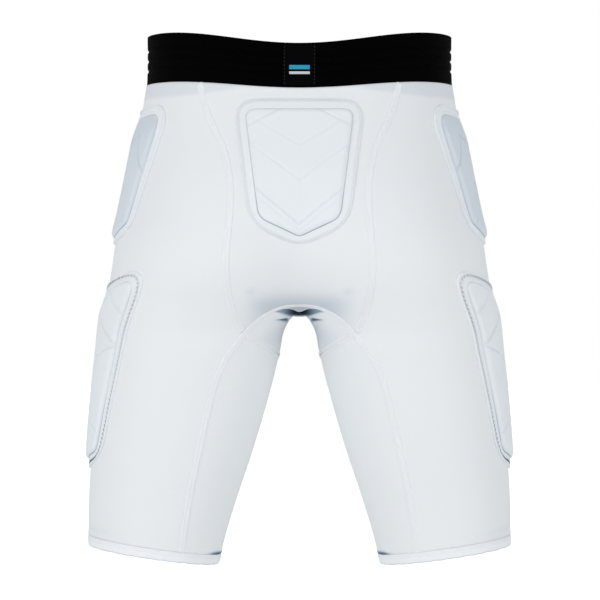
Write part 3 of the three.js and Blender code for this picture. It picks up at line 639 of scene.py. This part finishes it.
def draped(p):
    """Lifts the cloth in its low folds, and gives where it is greyer: the second layer under the band, and
    painted shade along the hem's stitch row and round the crotch.
    """
    below_band = band_bottom_at(p) - p[:, 2]
    width = strip_depth * smooth(strip_from, strip_full, np.abs(p[:, 0])) ** 0.7
    edge_softness = 1.6
    in_strip = 1 - smooth(width - edge_softness, width + edge_softness, below_band)
    in_strip *= smooth(1, 6, width)
    over_hem = np.maximum(p[:, 2] - hem_top_at(points(np.abs(p[:, 0]), 0, 0)), 0)
    mid_x, mid_y, _, _ = half_at(p[:, 2])
    turn = np.arctan2(np.abs(p[:, 0]) - mid_x, p[:, 1] - mid_y)
    strip_lift, pucker_lift, pucker_reach, ridge_lift, ridge_at = 0.35, 0.16, 7, 0.5, 2.6
    lift = strip_lift * in_strip
    lift += pucker_lift * pucker(turn) * np.exp(-over_hem / pucker_reach) * smooth(0, 2, over_hem)
    lift += ridge_lift * hump(over_hem, ridge_at, 1.5)
    x, at_back = np.abs(p[:, 0]), smooth(-6, 4, p[:, 1])
    # Painted shade along the hem's stitch row, with a painted shadow at its inner end, and painted shade at
    # its outer end and above it there.
    inner_spot_x, outer_spot_x = 78, 198
    inner_hem_shadow = at_back * hump(x, inner_spot_x, 7)
    outer_hem_shade = at_back * hump(x, outer_spot_x, 24)
    row_at, row_width = 0.7, 0.8 + 1.3 * inner_hem_shadow
    stitch_row_shade = 0.01 + 0.95 * inner_hem_shadow + 0.26 * outer_hem_shade
    stitch_row_shade *= hump(over_hem, row_at, row_width)
    stitch_row_shade += 0.03 * outer_hem_shade * hump(over_hem, 8, 4)
    hollow, dark = crotch_folds_and_shade(p)
    strip_dark = 0.08
    return raised(p, lift - hollow), strip_dark * in_strip + stitch_row_shade + dark


def cloth_sheet(name, bm):
    """Turns a panel's mesh into its piece, with a wall as thick as the cloth."""
    piece = finished(name, bm, [stretch_cloth], closed=False)
    wall = piece.modifiers.new("Wall", "SOLIDIFY")
    wall.thickness = cloth_wall * mm
    wall.offset = -1
    return piece


def middle_panel(facing):
    def top(u):
        x = mix(-1, 1, u) * long_seam_at(facing, 0)[0, 0]
        return points(x, 0, band_bottom_at(points(x, facing, 0)))

    def right(v):
        return long_seam_at(facing, v) * (-1, 1, 1)

    flat = patch(top, lambda u: arch_at(facing, mix(-1, 1, u)), right, lambda v: long_seam_at(facing, v))

    def place(u, v):
        at = flat(u, v)
        return draped(seen_from(facing, at[:, 0], at[:, 2]))

    return on_grid(110, 120, place, 130, 230)


cloth_sheet("Back_panel", middle_panel(1))
cloth_sheet("Front_panel", middle_panel(-1))


def side_panel():
    crossing_share = 12 / 21

    def seam_turn(facing):
        def at(v):
            seat = long_seam_at(facing, np.minimum(v / crossing_share, 1))
            leg = inner_seam_at(facing, np.clip((v - crossing_share) / (1 - crossing_share), 0, 1))
            p = np.where((v <= crossing_share)[:, None], seat, leg)
            return points(angle_of(p, facing), 0, p[:, 2])

        return at

    back, front = seam_turn(1), seam_turn(-1)

    def edge_turn(v, edge, first):
        ends = [seam(np.array([float(v)]))[0, 0] for seam in (back, front)]

        def at(u):
            angle = mix(*ends, u)
            return points(angle, 0, height_on_edge(lambda z: round_half(angle, z), edge, first, u))

        return at

    flat = patch(edge_turn(0, band_bottom_at, band_z), edge_turn(1, hem_top_at, hem_z), back, front)

    def place(u, v):
        at = flat(u, v)
        return draped(round_half(at[:, 0], at[:, 2]))

    return on_grid(150, 230, place, 250, 450)


side = side_panel()
cloth_sheet("Side_panel_right", mirror(side))
cloth_sheet("Side_panel_left", side)


def inner_panel():
    def seam_turn(facing):
        def at(v):
            p = inner_seam_at(facing, v)
            return points(angle_of(p, facing) - (0 if facing > 0 else 360), 0, p[:, 2])

        return at

    back, front = seam_turn(1), seam_turn(-1)
    ends = [seam(np.array([1.0]))[0, 0] for seam in (back, front)]

    def top(u):
        return points(mix(turn_back, turn_front - 360, u), 0, cross_seam_at(u)[:, 2])

    def bottom(u):
        angle = mix(*ends, u)
        return points(angle, 0, height_on_edge(lambda z: round_half(angle, z), hem_top_at, hem_z, u))

    flat = patch(top, bottom, back, front)

    def place(u, v):
        at = flat(u, v)
        return draped(round_half(at[:, 0], at[:, 2]))

    return on_grid(100, 120, place, 180, 220)


inner = inner_panel()
cloth_sheet("Inner_panel_right", mirror(inner))
cloth_sheet("Inner_panel_left", inner)


def gusset_panel():
    hung = patch(
        lambda u: arch_at(1, mix(-1, 1, u)),
        lambda u: arch_at(-1, mix(-1, 1, u)),
        lambda v: cross_seam_at(v) * (-1, 1, 1),
        cross_seam_at,
    )
    return on_grid(150, 170, lambda u, v: draped(settle(hung(u, v))), 110, 170)


cloth_sheet("Gusset", gusset_panel())


# The seam tapes are flat cover stitching over the joins of the panels.
# A soft strip with a rounded edge on each side carries a zigzag of thread between two straight rows.
tape_half, tape_lift = 2.9, 0.75


def seam_tape(path):
    line = np.asarray(path, float)
    steps = np.linalg.norm(np.diff(line, axis=0), axis=1)
    reach = np.concatenate([[0], np.cumsum(steps)])
    length = reach[-1]

    def on_line(distance):
        return np.stack([np.interp(distance, reach, line[:, k]) for k in range(3)], -1)

    def at(distance, aside, height):
        middle = on_line(distance)
        ahead = on_line(np.minimum(distance + 1.5, length)) - on_line(np.maximum(distance - 1.5, 0))
        sideways = unit(np.cross(ahead, normal_at(middle)))
        return raised(settle(middle + sideways * aside[:, None]), height)

    section = np.array(
        [(-1, 0.1), (-0.96, 0.55), (-0.82, 0.95), (-0.6, 1.0), (-0.42, 0.82), (0, 0.9)]
        + [(0.42, 0.82), (0.6, 1.0), (0.82, 0.95), (0.96, 0.55), (1, 0.1), (0, 0.05), (-1, 0.1)]
    )
    count = max(int(length / 2), 8)

    def place(u, v):
        around = np.round(u * (len(section) - 1)).astype(int)
        aside, height = section[around, 0] * tape_half, section[around, 1] * tape_lift
        return at(v * length, aside, height)

    bm = on_grid(len(section) - 1, count, place, 2 * tape_half, length, join=True)
    bmesh.ops.holes_fill(bm, edges=bm.edges, sides=0)
    pitch = 1.7
    zigs = int(length / pitch * 2) - 4
    distance = (np.arange(zigs) + 2) * pitch / 2
    aside = np.where(np.arange(zigs) % 2 == 0, -1.0, 1.0)
    add_thread(bm, at(distance, aside, np.full(zigs, tape_lift * 0.9)), 0.13, 1, sides=4)
    for edge in (-1.75, 1.75):
        row = np.linspace(1, length - 1, count)
        add_thread(bm, at(row, np.full(count, edge), np.full(count, tape_lift)), 0.14, 1, sides=4)
    return bm


def tape_piece(name, bm):
    finished(name, bm, [tape_cloth, white_thread])


def tape_pair(name, bm):
    tape_piece(f"{name}_right", mirror(bm))
    tape_piece(f"{name}_left", bm)


fine = np.linspace(0, 1, 160)
for facing, word in ((1, "back"), (-1, "front")):
    tape_pair(f"Long_seam_tape_{word}", seam_tape(long_seam_at(facing, fine * 0.985 + 0.003)))
    left_leg = inner_seam_at(facing, fine[1:])
    over_arch = arch_at(facing, np.linspace(-1, 1, 160))
    whole = np.vstack([left_leg[::-1] * (-1, 1, 1), over_arch, left_leg])
    tape_piece(f"Inner_seam_tape_{word}", seam_tape(whole))
tape_pair("Cross_seam_tape", seam_tape(cross_seam_at(mix(0.013, 0.987, fine))))


# The leg hems are folded up and stitched, which draws the cloth in at the stitch row.
# The fold is a little fuller in the middle, and its foot is round, with painted shade along its underside.
def hem_ring():
    outer = [(1.0, -1.0), (1.02, -0.3), (0.99, 0.0), (0.93, 0.12), (0.8, 0.42), (0.6, 0.55), (0.35, 0.5)]
    foot = [(0.15, 0.35), (0.04, 0.05), (0.0, -0.5), (0.0, -1.2), (0.04, -1.8), (0.12, -2.1)]
    section = np.array(outer + foot + [(0.6, -2.2), (0.95, -2.2), (1.0, -1.8), (1.0, -1.0)])

    def place(u, v):
        angle = u * 360
        around = np.round(v * (len(section) - 1)).astype(int)
        height, over = section[around].T
        wave = pucker(np.radians(angle))
        lift = 0.18 * wave * (height < 0.3)
        p = on_ring(round_half, angle, (hem_bottom_at, hem_top_at), hem_z, height, lift)
        # Painted shade along the bottom of the fold's foot.
        foot_shade = 0.2 * (height < 0.05) * (over > -1)
        return raised(p, over + 0.1 * wave * (over > 0)), foot_shade

    bm = on_grid(300, len(section) - 1, place, 400, 26, join=True)
    angles = np.arange(0, 360, 0.42)

    def row(height, over):
        return raised(on_ring(round_half, angles, (hem_bottom_at, hem_top_at), hem_z, height), over)

    stitch = np.where(np.arange(len(angles)) % 4 < 3, 0.16, -0.25)
    add_thread(bm, row(0.86, 0.34 + stitch), 0.16, 1, closed=True)
    add_thread(bm, row(0.66, 0.5 + stitch), 0.16, 1, closed=True)
    return bm


hem = hem_ring()
for name, mesh in (("Hem_right", mirror(hem)), ("Hem_left", hem)):
    piece = finished(name, mesh, [hem_cloth, white_thread])


# The waistband is a wide black elastic, woven with upright ribs and three shallow grooves all round.
groove_width, groove_depth, groove_pitch = 5.4, 1.2, 9.4


def elastic_material():
    made, tree, shader = new_material("Black elastic", 0.8)
    shader.inputs["Specular IOR Level"].default_value = 0.02
    across, down = uv_axes(tree)
    rib_pitch, course_pitch = 1.5 * mm, 0.9 * mm
    rib, course = waves(tree, across, rib_pitch), waves(tree, down, course_pitch)
    height = math_node(tree, "ADD", times(tree, rib, 0.7), times(tree, course, 0.3))
    add_bump(tree, shader, height, 0.12)
    share = times(tree, math_node(tree, "ADD", rib, 1.0), 0.5)
    tree.links.new(mixed(tree, share, linear(1, 1, 1), linear(4, 4, 4)), shader.inputs["Base Color"])
    return made


black_elastic = elastic_material()


def waistband():
    edge = 0.7
    outer = []
    for height in np.linspace(edge, band_height - edge, 60):
        dips = [abs(height - band_height / 2 - k * groove_pitch) / (groove_width / 2) for k in (-1, 0, 1)]
        nearest = min(min(dips), 1)
        outer.append((height, -groove_depth * math.cos(nearest * math.pi / 2) ** 2))
    section = np.array(
        [(edge / 3, -edge / 3)] + outer + [(band_height - edge / 3, -edge / 3), (band_height, -edge)]
        + [(band_height, -band_wall + edge), (band_height - edge, -band_wall)]
        + [(edge, -band_wall), (0, -band_wall + edge), (0, -edge), (edge / 3, -edge / 3)]
    )

    def place(u, v):
        angle = u * 360
        around = np.round(v * (len(section) - 1)).astype(int)
        height, over = section[around].T

        edges = band_bottom_at, band_top_at
        return raised(on_ring(round_waist, angle, edges, band_z, height / band_height), over)

    return on_grid(320, len(section) - 1, place, 800, 100, join=True)


band = finished("Waistband", waistband(), [black_elastic])


# The label is a black satin patch, sewn down at its sides, with two plain woven stripes.
label_width, label_height, label_wall = 31, 38, 0.8
label_z = float((band_top_at(points(0, 1, 0)) + band_bottom_at(points(0, 1, 0))) / 2)


def satin_material(name, colour):
    made, tree, shader = new_material(name, 0.42)
    shader.inputs["Specular IOR Level"].default_value = 0.03
    row_pitch = 0.5 * mm
    row = waves(tree, uv_axes(tree)[1], row_pitch)
    add_bump(tree, shader, row, 0.04)
    share = times(tree, math_node(tree, "ADD", row, 1.0), 0.25)
    dark = tuple(c * 0.7 for c in colour)
    tree.links.new(mixed(tree, share, linear(*colour), linear(*dark)), shader.inputs["Base Color"])
    return made


label_satin = satin_material("Black satin", (3, 3, 4))
label_thread = satin_material("Label thread", (96, 98, 104))
label_blue = satin_material("Blue weave", (60, 170, 205))
label_white = satin_material("White weave", (225, 228, 232))


def label_patch():
    def place(u, v):
        x = mix(-label_width / 2, label_width / 2, u)
        z = label_z + mix(label_height / 2, -label_height / 2, v)
        edge = np.minimum(np.minimum(u, 1 - u) * label_width, np.minimum(v, 1 - v) * label_height)
        soft = 0.35 * np.exp(-edge / 0.8)
        swell = 0.22 * np.sin(v * 9 + 2 * u) * smooth(0, 5, edge)
        return raised(seen_from(1, x, z), 0.5 + label_wall - soft + swell)

    bm = on_grid(62, 76, place, label_width, label_height)
    stripes = ((0.5, 0.61, 1), (0.655, 0.72, 2))
    bm.faces.ensure_lookup_table()
    layer = bm.loops.layers.uv["Cloth"]
    for face in bm.faces:
        middle = np.mean([loop[layer].uv[:] for loop in face.loops], 0) / mm / (label_width, label_height)
        for low, high, index in stripes:
            if low < middle[1] < high and abs(middle[0] - 0.5) < 0.3:
                face.material_index = index
    bmesh.ops.solidify(bm, geom=bm.faces[:], thickness=label_wall * mm)
    stitch_from_side, stitch_spacing, stitch_half, thread_radius = 1.6, 3.4, 0.55, 0.13
    rise = np.array([-0.1, 0.15, 0.15, -0.1])
    for x in (-label_width / 2 + stitch_from_side, label_width / 2 - stitch_from_side):
        for k in range(11):
            z = label_z - label_height / 2 + 2 + k * stitch_spacing
            stitch = seen_from(1, np.full(4, x), z + np.linspace(-stitch_half, stitch_half, 4))
            add_thread(bm, raised(stitch, 0.5 + label_wall + rise), thread_radius, 3)
    return bm


label_materials = [label_satin, label_blue, label_white, label_thread]
label = finished("Waist_label", label_patch(), label_materials)


# The pads are foam under a cover that is bonded down all round.
# A thin border with a rolled lip carries a zigzag row, and a bead runs round the window where the core rises.
# The core is a shallow dome with pressed channels. Shade is painted under its lower edge, in its channels, on
# the border's lower wall and on the stitching in places.
pad_border, core_gap = 9.6, 0.05
foam_wall, foam_dome, foam_edge = 5.5, 1.2, 3.4
corner_loss = 1.4
channel_depth, channel_reach = 0.85, 0.95
rim_count = 480


def pad_rim(corners, inset, roundings, count=rim_count):
    """The outline, inset and with rounded corners, as evenly spaced points from the middle of its top."""
    corners = np.asarray(corners, float)
    ways = unit(np.roll(corners, -1, 0) - corners)
    starts = corners + np.stack([-ways[:, 1], ways[:, 0]], -1) * inset
    before_way, before_start = np.roll(ways, 1, 0), np.roll(starts, 1, 0)
    apart = starts - before_start

    def cross(a, b):
        return a[:, 0] * b[:, 1] - a[:, 1] * b[:, 0]

    sharp = before_start + before_way * (cross(apart, ways) / cross(before_way, ways))[:, None]
    path = [(sharp[-1] + sharp[0]) / 2]
    for i, at in enumerate(sharp):
        rounding = max(roundings[i] - corner_loss * inset, 2)
        start = at + unit(sharp[i - 1] - at) * rounding
        end = at + unit(sharp[(i + 1) % len(sharp)] - at) * rounding
        t = np.linspace(0, 1, 17)[:, None]
        path += list(start * (1 - t) ** 2 + 2 * at * t * (1 - t) + end * t * t)
    path = np.array(path + [path[0]])
    reach = np.concatenate([[0], np.cumsum(np.linalg.norm(np.diff(path, axis=0), axis=1))])
    even = np.linspace(0, reach[-1], count + 1)
    return np.stack([np.interp(even, reach, path[:, k]) for k in (0, 1)], -1), reach[-1]


def bent_line(start, past, end, is_bent):
    t = np.linspace(0, 1, 25)[:, None]
    start, past, end = (np.array(p, float) for p in (start, past, end))
    if is_bent:
        return np.vstack([mix(start, past, t), mix(past, end, t)])
    return start * (1 - t) ** 2 + 2 * past * t * (1 - t) + end * t * t


def nearness(at, line):
    """How far points are from a line of short steps."""
    best = np.full(len(at), 1e9)
    for a, b in zip(line, line[1:]):
        way = b - a
        squared = max((way**2).sum(), 1e-9)
        t = np.clip(((at - a) @ way) / squared, 0, 1)
        best = np.minimum(best, np.linalg.norm(at - a - t[:, None] * way, axis=1))
    return best


def moulded_pad(
    half_width, height, chart, corners, roundings, channels, stitch_pitch, stitch_insets, stitch_radius,
    stitch_dark, bead=0.75, top_share=0.4, foot_share=0, upper_shade=0,
):
    """The border and the core of a pad, as two meshes."""
    size = np.array([half_width, height])
    corners = np.array(corners) * size
    middle = np.array([0, height / 2])
    outer, girth = pad_rim(corners, 0, roundings)
    window, _ = pad_rim(corners, pad_border, roundings)
    core, _ = pad_rim(corners, pad_border + core_gap, roundings)
    to_foot = foot_share * np.clip(-unit(middle - window)[:, 1:], 0, 1) ** 2
    window, core = mix(window, outer, to_foot), mix(core, outer, to_foot)

    lip = [(0.0, 0.05), (-0.02, 0.5), (0.25, 1.05), (0.8, 1.35), (1.5, 1.42), (2.2, 1.3), (3.0, 1.28)]
    flat = [(3.8, 1.3), (4.6, 1.42), (5.6, 1.46), (6.4, 1.5), (6.9, 1.54), (7.4, 1.6), (7.9, 1.7)]
    inner_wall = [(8.4, 1.75), (8.9, 1.75), (9.3, 1.7), (9.5, 1.55), (9.6, 1.1), (9.6, 0.1)]
    section = np.array(lip + flat + inner_wall + [(4.8, 0.05), (0.0, 0.05)])
    bead_from, bead_width = 6.2, 3.4
    swell = np.clip(np.sin((section[:, 0] - bead_from) / bead_width * np.pi), 0, 1)
    section[:, 1] += bead * (swell * (section[:, 1] > 1))

    def border_place(u, v):
        step = np.round(u * rim_count).astype(int)
        around = np.round(v * (len(section) - 1)).astype(int)
        inset, over = section[around].T
        at = mix(outer[step], window[step], (inset / pad_border)[:, None])
        low = np.clip(-unit(middle - window[step])[:, 1], 0, 1) ** 2
        low_edge, outer_edge = (inset > 9.2) * (over > 0.3), hump(inset, 0.1, 0.4)
        # Painted shade on the lower part of the window's wall, and a thin painted line of shade round the
        # outer edge.
        return raised(chart(at[:, 0], at[:, 1]), over), 0.3 * low * low_edge + 0.02 * outer_edge

    border = on_grid(rim_count, len(section) - 1, border_place, girth, 24, join=True)
    zigs = int(girth / stitch_pitch) * 2
    places = np.linspace(0, rim_count, zigs, endpoint=False)
    inset = np.where(np.arange(zigs) % 2 == 0, *stitch_insets)
    low = places.astype(int)
    rest = (places - low)[:, None]
    rings_at = [mix(ring[low], ring[low + 1], rest) for ring in (outer, window)]
    at = mix(*rings_at, (inset / pad_border)[:, None])
    thread_height = 1.6
    zigzag = raised(chart(at[:, 0], at[:, 1]), thread_height)
    # The thread's own grey, with painted shade where the stitches are to show darker.
    dark = stitch_dark(at[:, 0], at[:, 1])
    add_thread(border, zigzag, stitch_radius, 1, sides=4, closed=True, dark=dark)

    shoulder = [(0.0, 0.15), (0.0, 1.3), (0.15, 2.0), (0.5, 2.9), (1.05, 3.8), (1.8, 4.5), (2.7, 5.05)]
    rings, top_rings, under_rings = len(shoulder), 78, 6
    all_rings = under_rings + rings + top_rings
    lines = [bent_line(*(np.array(p) * size for p in row[:3]), row[3]) for row in channels]
    depths = [row[4] for row in channels]

    def core_place(u, v):
        # from the middle of the underside out to the edge, up the shoulder and in to the middle of the top
        step = np.round(u * rim_count).astype(int)
        row = np.round(v * (all_rings - 1)).astype(int)
        is_under, on_top = row < under_rings, row >= under_rings + rings
        on_shoulder = ~is_under & ~on_top
        from_top = 1 - np.clip((row - under_rings - rings + 1) / top_rings, 0, 1)
        share = np.where(on_top, from_top, np.where(is_under, row / under_rings, 1.0))
        edge = core[step]
        toward, reach = unit(middle - edge), np.linalg.norm(edge - middle, axis=1)
        ins, ups = np.array(shoulder).T[:, np.clip(row - under_rings, 0, rings - 1)]
        inward = np.where(on_shoulder, ins, np.where(is_under, 0.0, foam_edge))
        at = mix(middle, edge + toward * inward[:, None], share[:, None])
        a = np.minimum(np.abs(at[:, 0]) / half_width, 1)
        d = np.minimum(np.abs(at[:, 1] - middle[1]) / middle[1], 1)
        dome = foam_wall + foam_dome * (1 - a**2) * (1 - d**2)
        dome -= 0.2 * np.exp(-(reach - share * reach) / 2)
        over = np.where(on_top, dome, np.where(on_shoulder, ups, 0.15))
        # Painted shadow under the core's lower edge, and below, painted shade in the channels.
        low = np.clip(-toward[:, 1], 0, 1) ** 2
        dark = (0.01 + 0.45 * low) * (on_shoulder & (over < 2.2))
        channel_floor, channel_shade = 2.5, 0.045
        for line, depth in zip(lines, depths):
            dent = hump(nearness(at, line), 0, channel_reach) * depth
            dent = np.where(is_under | (over < channel_floor), 0, dent)
            over = over - dent * channel_depth
            dark = dark + np.where(over < channel_floor, 0, channel_shade * dent)
        # the core rises slowly from the border at its top
        rise_length, rise_from = 22, 1.6
        top_line = np.interp(at[:, 0], [-half_width, half_width], [corners[-1][1], corners[0][1]])
        risen = smooth(pad_border, pad_border + rise_length, at[:, 1] - top_line)
        lowered = rise_from + (over - rise_from) * mix(top_share, 1, risen)
        over = np.where(over > rise_from, lowered, over)
        # Painted shade, darker towards the top of the core.
        dark = dark + upper_shade * (1 - smooth(10, 75, at[:, 1])) * ~is_under
        return raised(chart(at[:, 0], at[:, 1]), over), np.clip(dark, 0, 1)

    return border, on_grid(rim_count, all_rings - 1, core_place, girth, 90, join=True)


def side_chart(turn, lean, height, drop, wrap):
    middle_z = -drop - height / 2
    near = 10
    ends = round_half(np.array([turn - near, turn + near]), np.full(2, float(middle_z)))
    per_degree = np.linalg.norm(ends[1] - ends[0]) / (2 * near)

    def chart(across, down):
        return round_half(turn + lean * down / height + across / per_degree, -drop - down)

    return wrap / 2 * per_degree, chart


def add_pad(name, sides, cover=core_cover, **shape):
    border, core = moulded_pad(**shape)
    for word in sides:
        rim, foam = (mirror(bm) if word == "_right" else bm.copy() for bm in (border, core))
        rim = finished(f"{name}_border{word}", rim, [pad_cover, pad_thread])
        foam = finished(f"{name}_core{word}", foam, [cover])


add_pad(
    "Tailbone_pad",
    [""],
    corners=[(1.02, 0), (0.775, 0.86), (0, 1.012), (-0.775, 0.86), (-1.02, 0)],
    channels=[
        ((-0.8, 0.575), (0, 0.85), (0.8, 0.575), True, 1.0),
        ((-0.8, 0.625), (0, 0.89), (0.8, 0.625), True, 0.45),
        ((-0.9, 0.28), (0, 0.56), (0.9, 0.28), True, 0.4),
        ((-0.66, 0.155), (0, 0.335), (0.66, 0.155), True, 0.4),
        ((-0.9, 0.222), (-0.54, 0.138), (-0.16, 0.05), False, 0.9),
        ((0.9, 0.222), (0.54, 0.138), (0.16, 0.05), False, 0.9),
        ((0, 0.33), (0, 0.6), (0, 0.8), False, 0.12),
    ],
    roundings=(25, 22, 17, 22, 25),
    top_share=1,
    half_width=60,
    height=136,
    chart=lambda across, down: seen_from(1, across, -42.5 - down),
    bead=0.1,
    stitch_pitch=3.4,
    stitch_insets=(0.5, 3.3),
    stitch_radius=0.2,
    # Painted shade on the stitches along the middle of the top edge.
    stitch_dark=lambda across, down: 0.02 + 0.14 * (down < 4) * (np.abs(across) < 40),
)

hip_half, hip_chart = side_chart(73.5, 4, 135, 43, 62)
add_pad(
    "Hip_pad",
    ["_right", "_left"],
    corners=[(1, 0.06), (0.8, 0.9), (0.05, 1), (-0.83, 0.89), (-1, 0)],
    channels=[
        ((-0.95, 0.55), (-0.5, 0.42), (-0.38, 0.23), False, 1.6),
        ((-0.38, 0.23), (0, 0.28), (0.6, 0.37), False, 1.9),
        ((-0.55, 0.84), (-0.34, 0.68), (-0.16, 0.57), False, 1.4),
        ((-0.16, 0.57), (0.2, 0.61), (0.6, 0.67), False, 1.9),
    ],
    roundings=(20, 17, 14, 17, 30),
    cover=shaded_hip_cover,
    half_width=hip_half,
    height=135,
    chart=hip_chart,
    foot_share=0.35,
    upper_shade=0.05,
    stitch_pitch=2.0,
    stitch_insets=(0.7, 2.6),
    stitch_radius=0.16,
    stitch_dark=lambda across, down: 0.03,
)

thigh_half, thigh_chart = side_chart(70, 24, 191, 201, 80)
add_pad(
    "Thigh_pad",
    ["_right", "_left"],
    corners=[(1, 0.13), (1, 0.9), (0, 1), (-1, 0.93), (-1, -0.02)],
    channels=[
        ((-0.92, 0.225), (-0.45, 0.13), (0.05, 0.04), False, 0.8),
        ((-0.92, 0.385), (-0.35, 0.24), (0.4, 0.18), False, 1.1),
        ((-0.92, 0.37), (-0.45, 0.385), (0.3, 0.52), False, 1.1),
        ((0.1, 0.385), (-0.15, 0.41), (-0.36, 0.46), False, 0.8),
        ((-0.36, 0.46), (-0.34, 0.6), (-0.46, 0.71), False, 0.5),
        ((0.6, 0.66), (-0.3, 0.72), (-0.8, 0.8), False, 1.0),
    ],
    roundings=(26, 23, 18, 23, 26),
    half_width=thigh_half,
    height=191,
    chart=thigh_chart,
    stitch_pitch=4.2,
    stitch_insets=(1.2, 4.6),
    stitch_radius=0.3,
    # Painted shade on the stitches of the rear edge, growing towards the bottom.
    stitch_dark=lambda across, down: (
        0.02 + (0.35 * smooth(15, 60, down) + 0.25 * smooth(100, 160, down)) * (across < 0)
    ),
)


# The stage is a wide pale floor under soft even light, with nothing round it that hides the piece.
def stage_floor():
    bm = bmesh.new()
    half_width, floor_z = 9, -0.56
    bmesh.ops.create_grid(bm, x_segments=1, y_segments=1, size=half_width)
    bmesh.ops.translate(bm, vec=(0, 0, floor_z), verts=bm.verts)
    mesh = bpy.data.meshes.new("Floor")
    bm.to_mesh(mesh)
    bm.free()
    floor = placed("Floor", mesh)
    paper, tree, shader = new_material("White paper", 0.9)
    shader.inputs["Base Color"].default_value = (0.86, 0.86, 0.86, 1)
    shader.inputs["Emission Color"].default_value = (1, 1, 1, 1)
    seen = node(tree, "ShaderNodeLightPath").outputs["Is Camera Ray"]
    seen_glow, own_glow = 0.6, 0.1
    glow = math_node(tree, "ADD", times(tree, seen, seen_glow), own_glow)
    tree.links.new(glow, shader.inputs["Emission Strength"])
    mesh.materials.append(paper)


stage_floor()


def soft_light(name, place, aim, size, power):
    data = bpy.data.lights.new(name, "AREA")
    data.shape = "DISK"
    data.size = size
    data.energy = power
    light = placed(name, data)
    light.location = place
    way = np.array(aim, float) - np.array(place, float)
    light.rotation_euler = (math.atan2(math.hypot(way[0], way[1]), -way[2]), 0, math.atan2(-way[0], way[1]))


soft_light("Key", (2.2, 2.5, 0.0), (0, 0, -0.28), 1.3, 21.5)
soft_light("Fill", (-2.3, 2.5, -0.35), (0, 0, -0.28), 1.5, 21.5)
soft_light("Low light", (0, 2.4, -1.2), (0, 0, -0.3), 1.2, 5)
world = bpy.data.worlds.new("Even light")
world.use_nodes = True
sky_tree = world.node_tree
sky = sky_tree.nodes["Background"]
sky.inputs["Color"].default_value = (0.94, 0.972, 1.0, 1)
sky.inputs["Strength"].default_value = 0.63
backdrop = node(sky_tree, "ShaderNodeBackground")
backdrop.inputs["Color"].default_value = (1, 1, 1, 1)
choice = node(sky_tree, "ShaderNodeMixShader")
ray = node(sky_tree, "ShaderNodeLightPath")
sky_tree.links.new(ray.outputs["Is Camera Ray"], choice.inputs["Fac"])
sky_tree.links.new(sky.outputs[0], choice.inputs[1])
sky_tree.links.new(backdrop.outputs[0], choice.inputs[2])
sky_tree.links.new(choice.outputs[0], sky_tree.nodes["World Output"].inputs["Surface"])
bpy.context.scene.world = world
bpy.context.scene.view_settings.view_transform = "Standard"

picture_width, camera_distance, picture_middle = 0.576, 3.06, (-0.00048, -0.2285)
camera_data = bpy.data.cameras.new("Camera")
camera_data.sensor_width = 36
camera_data.lens = camera_data.sensor_width / (picture_width / camera_distance)
camera = placed("Camera", camera_data)
camera.location = (picture_middle[0], camera_distance, picture_middle[1])
camera.rotation_euler = (math.pi / 2, 0, math.pi)
bpy.context.scene.camera = camera
